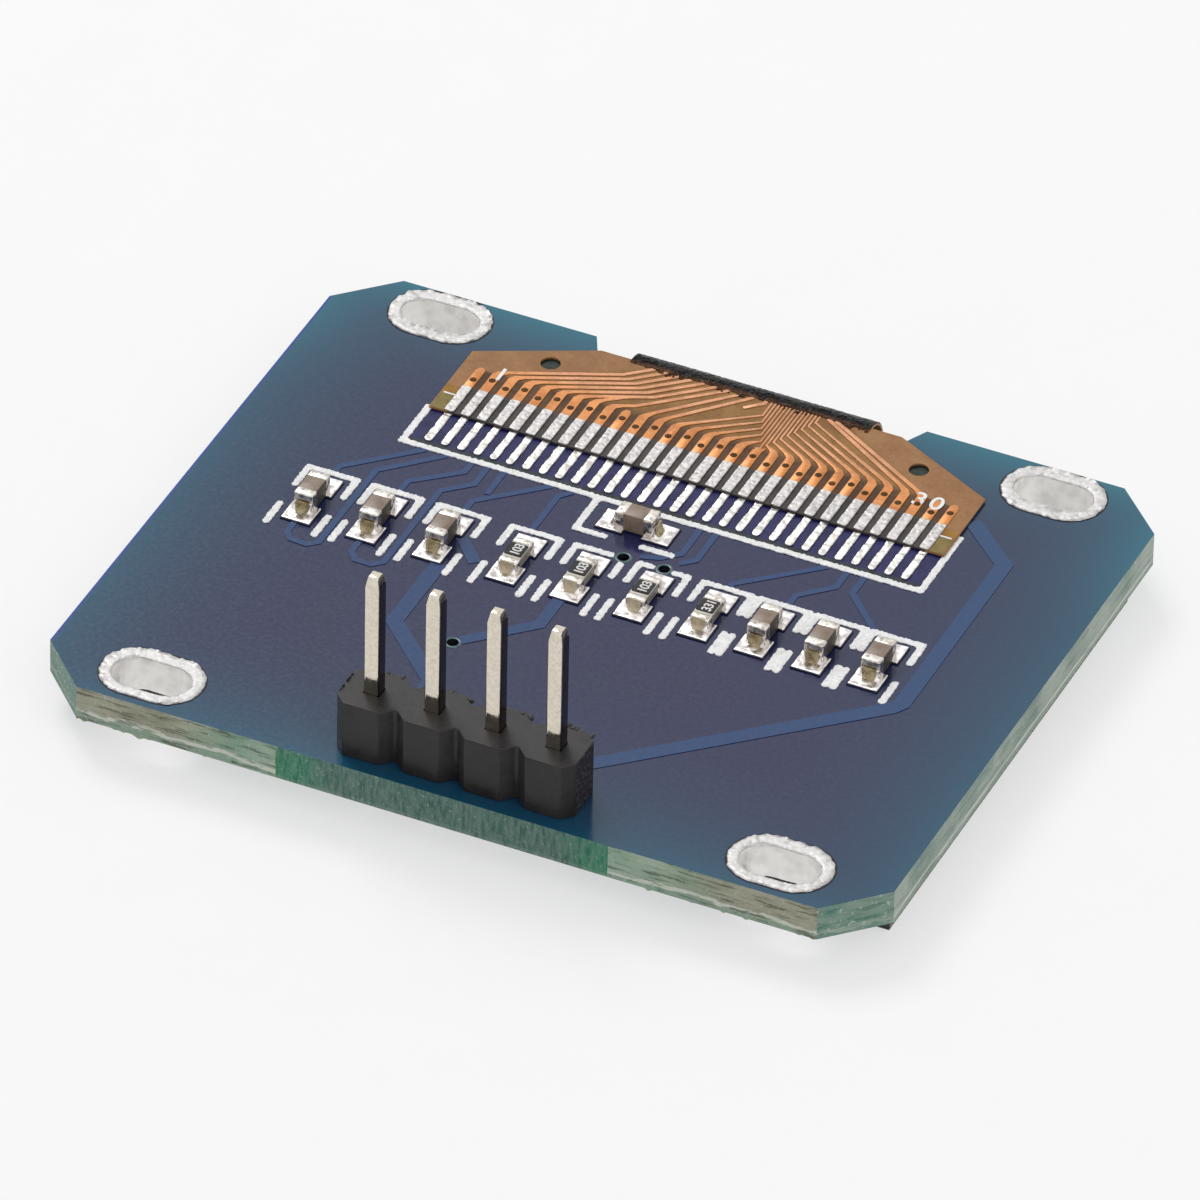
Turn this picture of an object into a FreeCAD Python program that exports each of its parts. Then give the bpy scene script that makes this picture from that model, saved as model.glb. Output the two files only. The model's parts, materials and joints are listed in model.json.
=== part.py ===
import FreeCAD, Part
import os
import Sketcher

# Small OLED module: circuit board, slotted plated holes, four-pin header, folded flex tail, chips, display.
# The display faces down on Z = 0 and the header pins point up. X runs along the header row.
# Y runs from the header edge to the flex edge, and the origin is under the middle of the board.

SIZES = {
    # Circuit board
    "board_width": 35.4,
    "board_depth": 29.2,
    "board_thick": 1.5,
    "corner_cut": 2.2,
    "notch_width": 13.2,
    "notch_depth": 1.0,
    "notch_flare": 0.5,
    # Slotted fixing holes and their tinned lining
    "slot_span": 26.34,
    "slot_near_inset": 1.86,
    "slot_far_inset": 1.56,
    "slot_straight": 1.25,
    "slot_opening": 2.0,
    "slot_rim": 0.44,
    "lining_thick": 0.05,
    # Pin header
    "pin_pitch": 2.54,
    "pin_width": 0.64,
    "pin_inset": 1.87,
    "pin_above": 5.5,
    "pin_below": 1.0,
    "pin_tip": 0.45,
    "pin_tip_width": 0.36,
    "pin_hole": 1.0,
    "housing_depth": 2.5,
    "housing_height": 2.5,
    "housing_corner": 0.45,
    "housing_neck": 0.08,
    "solder_base": 1.5,
    "solder_tip": 0.95,
    "solder_height": 0.6,
    # Display panel, from the front up to the board
    "polariser_width": 31.5,
    "polariser_depth": 17.0,
    "polariser_thick": 0.15,
    "panel_width": 34.5,
    "panel_depth": 22.8,
    "panel_inset": 2.9,
    "front_glass_thick": 0.5,
    "seal_thick": 0.05,
    "seal_width": 1.0,
    "pixel_width": 29.42,
    "pixel_depth": 14.7,
    "rear_glass_depth": 19.0,
    "rear_glass_thick": 0.4,
    "tape_thick": 0.1,
    "tape_margin": 1.5,
    "driver_width": 11.0,
    "driver_depth": 1.0,
    "driver_thick": 0.25,
    "driver_gap": 0.6,
    # Flex tail
    "film_thick": 0.1,
    "film_width": 22.0,
    "film_reach": 6.22,
    "film_side": 4.0,
    "film_shoulder": 12.9,
    "film_shoulder_run": 2.27,
    "throat_width": 10.3,
    "bend_overhang": 0.1,
    "film_hole": 0.8,
    "film_hole_span": 15.8,
    "film_hole_from_start": 4.62,
    "bond_length": 1.5,
    "cover_thick": 0.04,
    "cover_lap": 0.28,
    "cover_turn": 150,
    # Contacts between tail and board
    "contact_pitch": 0.7,
    "contact_count": 30,
    "pad_thick": 0.05,
    "land_width": 0.3,
    "land_reach": 1.95,
    "finger_width": 0.42,
    "finger_length": 1.76,
    "finger_thick": 0.05,
    # Copper of the tail
    "copper_thick": 0.02,
    "window_width": 0.4,
    "window_length": 1.36,
    "window_taper": 0.2,
    "trace_width": 0.17,
    "trace_lead": 0.4,
    "left_slope": 0.46,
    "left_far_slope": 0.88,
    "left_entry_x": -4.02,
    "left_entry_pitch": 0.53,
    "bundle_x": 1.79,
    "bundle_pitch": 0.158,
    "bundle_trace_width": 0.09,
    "bundle_left_slope": 0.73,
    "bundle_right_slope": 0.575,
    "right_entry_pitch": 0.34,
    "spare_trace_run": 0.65,
    "spare_trace_rise": 0.62,
    # Chips
    "chip_length": 1.6,
    "chip_width": 0.8,
    "chip_end": 0.3,
    "capacitor_height": 0.8,
    "resistor_height": 0.45,
    "glaze_thick": 0.02,
    "glaze_length": 0.85,
    "chip_row_reach": 7.38,
    "chip_pad_length": 1.13,
    "chip_pad_width": 1.22,
    "chip_pad_gap": 0.82,
    "fillet_run": 0.3,
    "fillet_rise": 0.35,
    "side_chip_x": -0.42,
    "side_chip_rise": 3.9,
    # Vias
    "via_hole": 0.46,
    "via_rim": 0.13,
    "header_via_x": -3.76,
    "header_via_y": 8.8,
    "row_via_rise": 1.98,
    "left_row_via_x": -0.14,
    "right_row_via_x": 1.59,
    # White print
    "ink_thick": 0.02,
    "ink_width": 0.28,
    "bracket_width": 2.34,
    "bracket_rise": 2.04,
    "bracket_leg": 1.22,
    "stroke_start": -2.1,
    "stroke_length": 1.5,
    "frame_width": 22.38,
    "frame_reach": 2.47,
    "frame_depth": 4.0,
    # Copper lines under the coloured mask
    "mask_step": 0.03,
    "line_width": 0.26,
    "feed_width": 0.68,
    "link_width": 0.5,
    "supply_width": 0.68,
}

# Centre of each chip of the row, left to right, and its kind
ROW_CHIPS = [
    (-12.52, "capacitor"),
    (-9.74, "capacitor"),
    (-6.92, "capacitor"),
    (-3.79, "resistor"),
    (-1.07, "resistor"),
    (1.62, "resistor"),
    (4.34, "resistor"),
    (6.73, "capacitor"),
    (9.13, "capacitor"),
    (11.51, "capacitor"),
]

# Contacts of the tail by their place in the row: windows with no line, lines that lean right on the left side,
# a window that runs into the line before it, the fine bundle and its middle, and the lines at the right
LONE_WINDOWS = (0, 9, 28, 29)
LEFT_LINES = (1, 2, 3, 4, 5, 6, 8, 10, 11)
JOINED_WINDOW = 7
BUNDLE_LINES = range(12, 26)
BUNDLE_MIDDLE = 17

doc = FreeCAD.newDocument("oled_module")
sheet = doc.addObject("Spreadsheet::Sheet", "dims")
for row, (name, value) in enumerate(SIZES.items(), start=1):
    sheet.set(f"A{row}", name)
    sheet.set(f"B{row}", str(value))
    sheet.setAlias(f"B{row}", name)
doc.recompute()

# Heights of the stack, as expressions on the sheet
GLASS_FRONT = "dims.polariser_thick"
GLASS_REAR = f"({GLASS_FRONT} + dims.front_glass_thick)"
COVER_FRONT = f"({GLASS_REAR} + dims.seal_thick)"
COVER_REAR = f"({COVER_FRONT} + dims.rear_glass_thick)"
BOARD_UNDER = f"({COVER_REAR} + dims.tape_thick)"
BOARD_TOP = f"({BOARD_UNDER} + dims.board_thick)"
HOUSING_TOP = f"({BOARD_TOP} + dims.housing_height)"
FILM_UNDER = f"({BOARD_TOP} + dims.pad_thick)"
FILM_TOP = f"({FILM_UNDER} + dims.film_thick)"

# Edges and rows of the plan
NEAR = "(0 - dims.board_depth / 2)"
FAR = "(dims.board_depth / 2)"
NOTCH = f"({FAR} - dims.notch_depth)"
PIN_ROW = f"({NEAR} + dims.pin_inset)"
PANEL_NEAR = f"({NEAR} + dims.panel_inset)"
PANEL_FAR = f"({PANEL_NEAR} + dims.panel_depth)"
REAR_GLASS_FAR = f"({PANEL_NEAR} + dims.rear_glass_depth)"
FILM_NEAR = f"({NOTCH} - dims.film_reach)"
FRAME_NEAR = f"({FILM_NEAR} - dims.frame_reach)"
BEND = f"({NOTCH} + dims.bend_overhang)"
FINGER_END = f"({FILM_NEAR} + dims.finger_length)"
CHIP_ROW = f"({FILM_NEAR} - dims.chip_row_reach)"
HOUSING_BACK = f"({PIN_ROW} + dims.housing_depth / 2)"

parts = []


def size(expression):
    return float(sheet.evalExpression(expression))


def keep(feature, label):
    feature.Label = label
    parts.append(feature)
    return feature


def bind(feature, **expressions):
    for name, expression in expressions.items():
        feature.setExpression(name, str(expression))
    return feature


def place(feature, x="0", y="0", z="0"):
    for axis, expression in (("x", x), ("y", y), ("z", z)):
        feature.setExpression(f"Placement.Base.{axis}", str(expression))
    return feature


def box(name, centre_x, near_y, low_z, width, depth, height):
    block = doc.addObject("Part::Box", name)
    bind(block, Length=width, Width=depth, Height=height)
    return place(block, f"{centre_x} - ({width}) / 2", near_y, low_z)


def compound(name, pieces):
    group = doc.addObject("Part::Compound", name)
    group.Links = pieces
    return group


def fused(name, pieces):
    whole = doc.addObject("Part::MultiFuse", name)
    whole.Shapes = pieces
    whole.Refine = True
    return whole


def cut(name, base, tool):
    result = doc.addObject("Part::Cut", name)
    result.Base = base
    result.Tool = tool
    return result


# Sketches on a body's own ground plane, lifted by an expression
def flat_sketch(body, name, height="0"):
    ground = next(plane for plane in body.Origin.OriginFeatures if plane.Role == "XY_Plane")
    sketch = body.newObject("Sketcher::SketchObject", name)
    sketch.AttachmentSupport = [(ground, "")]
    sketch.MapMode = "FlatFace"
    sketch.setExpression("AttachmentOffset.Base.z", height)
    return sketch


def constrain(sketch, kind, geometry, expression):
    index = sketch.addConstraint(Sketcher.Constraint(kind, *geometry, size(expression)))
    sketch.setExpression(f"Constraints[{index}]", expression)


def outline(sketch, corners):
    points = [FreeCAD.Vector(size(x), size(y), 0) for x, y in corners]
    first = sketch.GeometryCount
    count = len(points)
    for index in range(count):
        sketch.addGeometry(Part.LineSegment(points[index], points[(index + 1) % count]))
    for index in range(count):
        following = (index + 1) % count
        sketch.addConstraint(Sketcher.Constraint("Coincident", first + index, 2, first + following, 1))
    for index, (x, y) in enumerate(corners):
        constrain(sketch, "DistanceX", (-1, 1, first + index, 1), x)
        constrain(sketch, "DistanceY", (-1, 1, first + index, 1), y)


def rectangle(sketch, left, near, right, far):
    outline(sketch, [(left, near), (right, near), (right, far), (left, far)])


def circle(sketch, x, y, diameter):
    index = sketch.GeometryCount
    centre = FreeCAD.Vector(size(x), size(y), 0)
    sketch.addGeometry(Part.Circle(centre, FreeCAD.Vector(0, 0, 1), size(diameter) / 2))
    constrain(sketch, "DistanceX", (-1, 1, index, 3), x)
    constrain(sketch, "DistanceY", (-1, 1, index, 3), y)
    constrain(sketch, "Diameter", (index,), diameter)


def oval(sketch, x, y, straight, width):
    first = sketch.GeometryCount
    middle_x, middle_y = size(x), size(y)
    half, radius = size(straight) / 2, size(width) / 2
    up = FreeCAD.Vector(0, 0, 1)
    right_centre = FreeCAD.Vector(middle_x + half, middle_y, 0)
    left_centre = FreeCAD.Vector(middle_x - half, middle_y, 0)
    quarter = 1.5707963267948966
    sketch.addGeometry(Part.ArcOfCircle(Part.Circle(right_centre, up, radius), -quarter, quarter))
    sketch.addGeometry(Part.ArcOfCircle(Part.Circle(left_centre, up, radius), quarter, 3 * quarter))
    rise = FreeCAD.Vector(0, radius, 0)
    sketch.addGeometry(Part.LineSegment(right_centre + rise, left_centre + rise))
    sketch.addGeometry(Part.LineSegment(left_centre - rise, right_centre - rise))
    right, left, top, bottom = first, first + 1, first + 2, first + 3
    for ends in ((right, 2, top, 1), (top, 2, left, 1), (left, 2, bottom, 1), (bottom, 2, right, 1)):
        sketch.addConstraint(Sketcher.Constraint("Tangent", *ends))
    constrain(sketch, "DistanceX", (-1, 1, right, 3), f"{x} + ({straight}) / 2")
    constrain(sketch, "DistanceX", (-1, 1, left, 3), f"{x} - ({straight}) / 2")
    constrain(sketch, "DistanceY", (-1, 1, right, 3), y)
    constrain(sketch, "DistanceY", (-1, 1, left, 3), y)
    constrain(sketch, "Diameter", (right,), width)


def pad(body, sketch, name, length):
    feature = body.newObject("PartDesign::Pad", name)
    feature.Profile = sketch
    feature.setExpression("Length", length)
    sketch.Visibility = False
    return feature


def pocket(body, sketch, name, length):
    before = solid_volume(body)
    feature = body.newObject("PartDesign::Pocket", name)
    feature.Profile = sketch
    feature.setExpression("Length", length)
    doc.recompute()
    if solid_volume(body) >= before:
        raise RuntimeError(f"{name} removed nothing")
    return feature


def solid_volume(body):
    doc.recompute()
    return body.Shape.Volume


# A flat strip along a line of points, of one width or with a width for each point, with mitred turns
def strip(points, width, thick):
    path = [FreeCAD.Vector(x, y, 0) for x, y in points]
    widths = width if isinstance(width, list) else [width] * len(path)
    headings = [(path[index + 1] - path[index]).normalize() for index in range(len(path) - 1)]
    left, right = [], []
    for index, point in enumerate(path):
        before = headings[max(index - 1, 0)]
        after = headings[min(index, len(headings) - 1)]
        across = FreeCAD.Vector(-(before.y + after.y), before.x + after.x, 0).normalize()
        reach = widths[index] / 2 / across.dot(FreeCAD.Vector(-after.y, after.x, 0))
        left.append(point + across * reach)
        right.append(point - across * reach)
    loop = left + right[::-1]
    return Part.Face(Part.makePolygon(loop + loop[:1])).extrude(FreeCAD.Vector(0, 0, thick))


def flat_group(name, solids, low_z):
    feature = doc.addObject("Part::Feature", name)
    feature.Shape = Part.Compound(solids)
    feature.Placement = FreeCAD.Placement(FreeCAD.Vector(0, 0, low_z), FreeCAD.Rotation())
    return feature


def pin_x(index):
    return f"({index} - 1.5) * dims.pin_pitch"


VIAS = [
    ("dims.header_via_x", f"{NEAR} + dims.header_via_y"),
    ("dims.left_row_via_x", f"{CHIP_ROW} + dims.row_via_rise"),
    ("dims.right_row_via_x", f"{CHIP_ROW} + dims.row_via_rise"),
]
SLOTS = [
    ("near_left", "0 - dims.slot_span / 2", f"{NEAR} + dims.slot_near_inset"),
    ("near_right", "dims.slot_span / 2", f"{NEAR} + dims.slot_near_inset"),
    ("far_left", "0 - dims.slot_span / 2", f"{FAR} - dims.slot_far_inset"),
    ("far_right", "dims.slot_span / 2", f"{FAR} - dims.slot_far_inset"),
]


# Board with cut corners, a shallow notch for the tail, and every drilled hole
def make_board():
    body = doc.addObject("PartDesign::Body", "board")
    side = "dims.board_width / 2"
    inner = "dims.notch_width / 2"
    outer = f"({inner} + dims.notch_flare)"
    corners = [
        (f"dims.corner_cut - {side}", NEAR),
        (f"{side} - dims.corner_cut", NEAR),
        (side, f"{NEAR} + dims.corner_cut"),
        (side, f"{FAR} - dims.corner_cut"),
        (f"{side} - dims.corner_cut", FAR),
        (outer, FAR),
        (inner, NOTCH),
        (f"0 - {inner}", NOTCH),
        (f"0 - {outer}", FAR),
        (f"dims.corner_cut - {side}", FAR),
        (f"0 - {side}", f"{FAR} - dims.corner_cut"),
        (f"0 - {side}", f"{NEAR} + dims.corner_cut"),
    ]
    plan = flat_sketch(body, "board_plan", BOARD_UNDER)
    outline(plan, corners)
    pad(body, plan, "board_plate", "dims.board_thick")
    holes = flat_sketch(body, "board_holes", BOARD_TOP)
    for _, x, y in SLOTS:
        oval(holes, x, y, "dims.slot_straight", "dims.slot_opening + 2 * dims.lining_thick")
    for index in range(4):
        circle(holes, pin_x(index), PIN_ROW, "dims.pin_hole")
    for x, y in VIAS:
        circle(holes, x, y, "dims.via_hole + 2 * dims.lining_thick")
    pocket(body, holes, "board_drilling", "dims.board_thick")
    keep(body, "circuit_board")


# Tinned lining of one slot: a sleeve with a flat rim on each face of the board
def make_slot_lining(name, x, y):
    body = doc.addObject("PartDesign::Body", f"{name}_lining")
    levels = [
        ("sleeve", BOARD_UNDER, "2 * dims.lining_thick", "dims.board_thick"),
        ("rim_top", BOARD_TOP, "2 * dims.slot_rim", "dims.lining_thick"),
    ]
    for level, height, growth, thick in levels:
        sketch = flat_sketch(body, f"{name}_{level}", height)
        oval(sketch, x, y, "dims.slot_straight", f"dims.slot_opening + {growth}")
        pad(body, sketch, f"{name}_{level}_pad", thick)
    opening = flat_sketch(body, f"{name}_opening", f"{BOARD_TOP} + dims.lining_thick")
    oval(opening, x, y, "dims.slot_straight", "dims.slot_opening")
    pocket(body, opening, f"{name}_bore", "dims.board_thick + dims.lining_thick")
    keep(body, f"slot_lining_{name}")


# Lining of a via: a short tube, all three vias in one node
def make_vias():
    tubes = []
    for index, (x, y) in enumerate(VIAS, start=1):
        sleeve = doc.addObject("Part::Cylinder", f"via_sleeve_{index}")
        bind(sleeve, Radius="dims.via_hole / 2 + dims.lining_thick", Height="dims.board_thick")
        place(sleeve, x, y, BOARD_UNDER)
        bore = doc.addObject("Part::Cylinder", f"via_bore_{index}")
        bind(bore, Radius="dims.via_hole / 2", Height="dims.board_thick")
        place(bore, x, y, BOARD_UNDER)
        tubes.append(cut(f"via_tube_{index}", sleeve, bore))
    return keep(compound("via_group", tubes), "via_linings")


# Moulded strip of four eight-sided blocks with V notches between them
def make_housing():
    body = doc.addObject("PartDesign::Body", "housing")
    reach = "dims.pin_pitch / 2 - dims.housing_neck"
    flat = "dims.pin_pitch / 2 - dims.housing_neck - dims.housing_corner"
    front = f"{PIN_ROW} - dims.housing_depth / 2"
    back = f"{PIN_ROW} + dims.housing_depth / 2"
    near_side, far_side = [], []
    for index in range(4):
        x = pin_x(index)
        near_side += [
            (f"{x} - ({reach})", f"{front} + dims.housing_corner"),
            (f"{x} - ({flat})", front),
            (f"{x} + ({flat})", front),
            (f"{x} + {reach}", f"{front} + dims.housing_corner"),
        ]
        far_side += [
            (f"{x} - ({reach})", f"{back} - dims.housing_corner"),
            (f"{x} - ({flat})", back),
            (f"{x} + ({flat})", back),
            (f"{x} + {reach}", f"{back} - dims.housing_corner"),
        ]
    plan = flat_sketch(body, "housing_plan", BOARD_TOP)
    outline(plan, near_side + far_side[::-1])
    pad(body, plan, "housing_block", "dims.housing_height")
    holes = flat_sketch(body, "housing_holes", HOUSING_TOP)
    for index in range(4):
        x = pin_x(index)
        rectangle(
            holes,
            f"{x} - dims.pin_width / 2",
            f"{PIN_ROW} - dims.pin_width / 2",
            f"{x} + dims.pin_width / 2",
            f"{PIN_ROW} + dims.pin_width / 2",
        )
    pocket(body, holes, "housing_bores", "dims.housing_height")
    return keep(body, "header_housing")


# Square pin with a blunt pyramid at both ends
def pin_core(name, index):
    below = f"({BOARD_UNDER} - dims.pin_below)"
    shaft = box(
        f"{name}_shaft",
        pin_x(index),
        f"{PIN_ROW} - dims.pin_width / 2",
        f"{below} + dims.pin_tip",
        "dims.pin_width",
        "dims.pin_width",
        f"{HOUSING_TOP} + dims.pin_above - {below} - 2 * dims.pin_tip",
    )
    tips = []
    for end, turn, height in (("top", 90, f"{HOUSING_TOP} + dims.pin_above - dims.pin_tip"),
                              ("low", -90, f"{below} + dims.pin_tip")):
        tip = doc.addObject("Part::Wedge", f"{name}_{end}")
        tip.Ymin = 0
        bind(tip, Xmin="0 - dims.pin_width / 2", Xmax="dims.pin_width / 2")
        bind(tip, Zmin="0 - dims.pin_width / 2", Zmax="dims.pin_width / 2")
        bind(tip, X2min="0 - dims.pin_tip_width / 2", X2max="dims.pin_tip_width / 2")
        bind(tip, Z2min="0 - dims.pin_tip_width / 2", Z2max="dims.pin_tip_width / 2", Ymax="dims.pin_tip")
        tip.Placement = FreeCAD.Placement(
            FreeCAD.Vector(0, 0, 0), FreeCAD.Rotation(FreeCAD.Vector(1, 0, 0), turn))
        tips.append(place(tip, pin_x(index), PIN_ROW, height))
    return fused(name, [shaft] + tips)


# Solder that fills the hole round a pin and rises as a cone on the display side
def make_pin_and_solder(index):
    keep(pin_core(f"pin_{index + 1}", index), f"header_pin_{index + 1}")
    plug = doc.addObject("Part::Cylinder", f"solder_plug_{index + 1}")
    bind(plug, Radius="dims.pin_hole / 2", Height="dims.board_thick")
    place(plug, pin_x(index), PIN_ROW, BOARD_UNDER)
    cone = doc.addObject("Part::Cone", f"solder_cone_{index + 1}")
    bind(cone, Radius1="dims.solder_tip / 2", Radius2="dims.solder_base / 2", Height="dims.solder_height")
    place(cone, pin_x(index), PIN_ROW, f"{BOARD_UNDER} - dims.solder_height")
    bore = box(
        f"solder_bore_{index + 1}",
        pin_x(index),
        f"{PIN_ROW} - dims.pin_width / 2",
        f"{BOARD_UNDER} - 2 * dims.solder_height",
        "dims.pin_width",
        "dims.pin_width",
        "dims.board_thick + 4 * dims.solder_height",
    )
    joint = cut(f"solder_joint_{index + 1}", fused(f"solder_solid_{index + 1}", [plug, cone]), bore)
    keep(joint, f"pin_solder_{index + 1}")


# Display: polariser, front glass, pixel layer and its seal, rear glass, mounting tape, driver chip
def make_display():
    middle = f"({PANEL_NEAR} + dims.rear_glass_depth / 2)"
    width, depth = "dims.panel_width", "dims.rear_glass_depth"
    keep(box("polariser", "0", f"{middle} - dims.polariser_depth / 2", "0",
             "dims.polariser_width", "dims.polariser_depth", "dims.polariser_thick"), "display_polariser")
    keep(box("front_glass", "0", PANEL_NEAR, GLASS_FRONT,
             width, "dims.panel_depth", "dims.front_glass_thick"), "display_front_glass")
    keep(box("pixels", "0", f"{middle} - dims.pixel_depth / 2", GLASS_REAR,
             "dims.pixel_width", "dims.pixel_depth", "dims.seal_thick"), "display_pixel_layer")
    frame = box("seal_outer", "0", PANEL_NEAR, GLASS_REAR, width, depth, "dims.seal_thick")
    window = box("seal_window", "0", f"{PANEL_NEAR} + dims.seal_width", GLASS_REAR,
                 f"{width} - 2 * dims.seal_width", f"{depth} - 2 * dims.seal_width", "dims.seal_thick")
    keep(cut("seal", frame, window), "display_edge_seal")
    keep(box("rear_glass", "0", PANEL_NEAR, COVER_FRONT, width, depth, "dims.rear_glass_thick"),
         "display_rear_glass")
    keep(box("tape", "0", f"{PANEL_NEAR} + dims.tape_margin", COVER_REAR,
             f"{width} - 2 * dims.tape_margin", f"{depth} - 2 * dims.tape_margin", "dims.tape_thick"),
         "mounting_tape")
    keep(box("driver", "0", f"{REAR_GLASS_FAR} + dims.driver_gap", GLASS_REAR,
             "dims.driver_width", "dims.driver_depth", "dims.driver_thick"), "display_driver_chip")


BEND_HEIGHT = f"(({FILM_TOP} + {GLASS_REAR}) / 2)"
BEND_OUTER = f"(({FILM_TOP} - {GLASS_REAR}) / 2)"


# The bend as a feature of its own: a tube sector swept about the bend axis
def bend_shell(name, inner, outer, width, turn):
    inner_radius, outer_radius, half = size(inner), size(outer), size(width) / 2
    axis_y, axis_z = size(BEND), size(BEND_HEIGHT)
    corners = [
        FreeCAD.Vector(-half, axis_y, axis_z + inner_radius),
        FreeCAD.Vector(half, axis_y, axis_z + inner_radius),
        FreeCAD.Vector(half, axis_y, axis_z + outer_radius),
        FreeCAD.Vector(-half, axis_y, axis_z + outer_radius),
    ]
    section = Part.Face(Part.makePolygon(corners + corners[:1]))
    feature = doc.addObject("Part::Feature", name)
    feature.Shape = section.revolve(
        FreeCAD.Vector(0, axis_y, axis_z), FreeCAD.Vector(-1, 0, 0), turn)
    return feature


# Film: wide end on the board, throat through the notch, fold, and the end bonded to the front glass
def make_film():
    body = doc.addObject("PartDesign::Body", "film_top")
    wide = "dims.film_width / 2"
    shoulder = "dims.film_shoulder / 2"
    throat = "dims.throat_width / 2"
    side_end = f"({FILM_NEAR} + dims.film_side)"
    shoulder_y = f"({side_end} + dims.film_shoulder_run)"
    half = [
        (wide, FILM_NEAR),
        (wide, side_end),
        (shoulder, shoulder_y),
        (throat, shoulder_y),
        (throat, BEND),
    ]
    mirrored = [(f"0 - {x}", y) for x, y in half[::-1]]
    plan = flat_sketch(body, "film_plan", FILM_UNDER)
    outline(plan, half + mirrored)
    pad(body, plan, "film_sheet", "dims.film_thick")
    holes = flat_sketch(body, "film_holes", FILM_TOP)
    for sign in ("-", "+"):
        circle(holes, f"0 {sign} dims.film_hole_span / 2",
               f"{FILM_NEAR} + dims.film_hole_from_start", "dims.film_hole")
    pocket(body, holes, "film_punching", "dims.film_thick")
    bend = bend_shell("film_bend", f"{BEND_OUTER} - dims.film_thick", BEND_OUTER, "dims.throat_width", 180)
    bond_near = f"({PANEL_FAR} - dims.bond_length)"
    tail = box("film_tail", "0", bond_near, GLASS_REAR,
               "dims.throat_width", f"{BEND} - {bond_near}", "dims.film_thick")
    keep(fused("film", [body, bend, tail]), "flex_film")


# Dark coat on the outside of the fold, with a short lap on the flat film
def make_bend_cover():
    lap = box("cover_lap_strip", "0", f"{BEND} - dims.cover_lap", FILM_TOP,
              "dims.throat_width", "dims.cover_lap", "dims.cover_thick")
    shell = bend_shell("cover_bend", BEND_OUTER, f"{BEND_OUTER} + dims.cover_thick",
                       "dims.throat_width", size("dims.cover_turn"))
    return keep(fused("cover", [lap, shell]), "bend_coating")


# Middle of one contact of the row, counted from the left
def contact_x(index):
    return f"({index} - (dims.contact_count - 1) / 2) * dims.contact_pitch"


# Tinned lands on the board, and the fingers of the tail that are soldered above them
def make_contacts():
    count = int(size("dims.contact_count"))
    lands, fingers = [], []
    land_near = f"({FILM_NEAR} - dims.land_reach)"
    land_depth = f"{FINGER_END} - dims.finger_width / 2 - {land_near}"
    for index in range(count):
        lands.append(box(f"land_{index + 1}", contact_x(index), land_near, BOARD_TOP,
                         "dims.land_width", land_depth, "dims.pad_thick"))
        fingers.append(box(f"finger_{index + 1}", contact_x(index), FILM_NEAR, FILM_TOP,
                           "dims.finger_width", "dims.finger_length", "dims.finger_thick"))
    keep(compound("land_group", lands), "tail_lands")
    keep(compound("finger_group", fingers), "tail_fingers")


# Turning points of a line from the end of its window to the edge of the coat
def line_route(index, start_y, entry_y):
    x = size(contact_x(index))
    if index in LEFT_LINES:
        slope, far_slope = size("dims.left_slope"), size("dims.left_far_slope")
        entry_x = size(f"dims.left_entry_x + {LEFT_LINES.index(index)} * dims.left_entry_pitch")
        bend_x = (start_y - entry_y - slope * x + far_slope * entry_x) / (far_slope - slope)
        if bend_x > x:
            return [(x, start_y), (bend_x, start_y + slope * (bend_x - x)), (entry_x, entry_y)]
        return [(x, start_y), (entry_x, entry_y)]
    bundle_x = size(f"dims.bundle_x + ({index} - {BUNDLE_MIDDLE}) * dims.bundle_pitch")
    if index in BUNDLE_LINES:
        slope = size("dims.bundle_left_slope" if x < bundle_x else "dims.bundle_right_slope")
        return [(x, start_y), (bundle_x, start_y + slope * abs(bundle_x - x)), (bundle_x, entry_y)]
    last_x = size(f"dims.bundle_x + ({BUNDLE_LINES[-1]} - {BUNDLE_MIDDLE}) * dims.bundle_pitch")
    return [(x, start_y), (last_x + size("dims.right_entry_pitch") * (index - BUNDLE_LINES[-1]), entry_y)]


# Window of one contact that narrows into its line
def window_and_line(route, near_y, fine):
    wide, width = size("dims.window_width"), size("dims.trace_width")
    lead, taper = size("dims.trace_lead"), size("dims.window_taper")
    (x, start_y), (next_x, next_y) = route[:2]
    run = FreeCAD.Vector(next_x - x, next_y - start_y, 0)
    share = min(lead / run.Length, 0.5)
    lead_point = (x + run.x * share, start_y + run.y * share)
    lean = 0.1 * (next_x - x) / run.Length
    points = [(x, near_y), (x, start_y - taper), (x + lean, start_y), lead_point] + route[1:]
    widths = [wide, wide, 0.75 * wide, 1.1 * width] + [width] * (len(route) - 1)
    if fine:
        widths[-2:] = [size("dims.bundle_trace_width")] * 2
    return strip(points, widths, size("dims.copper_thick"))


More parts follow.
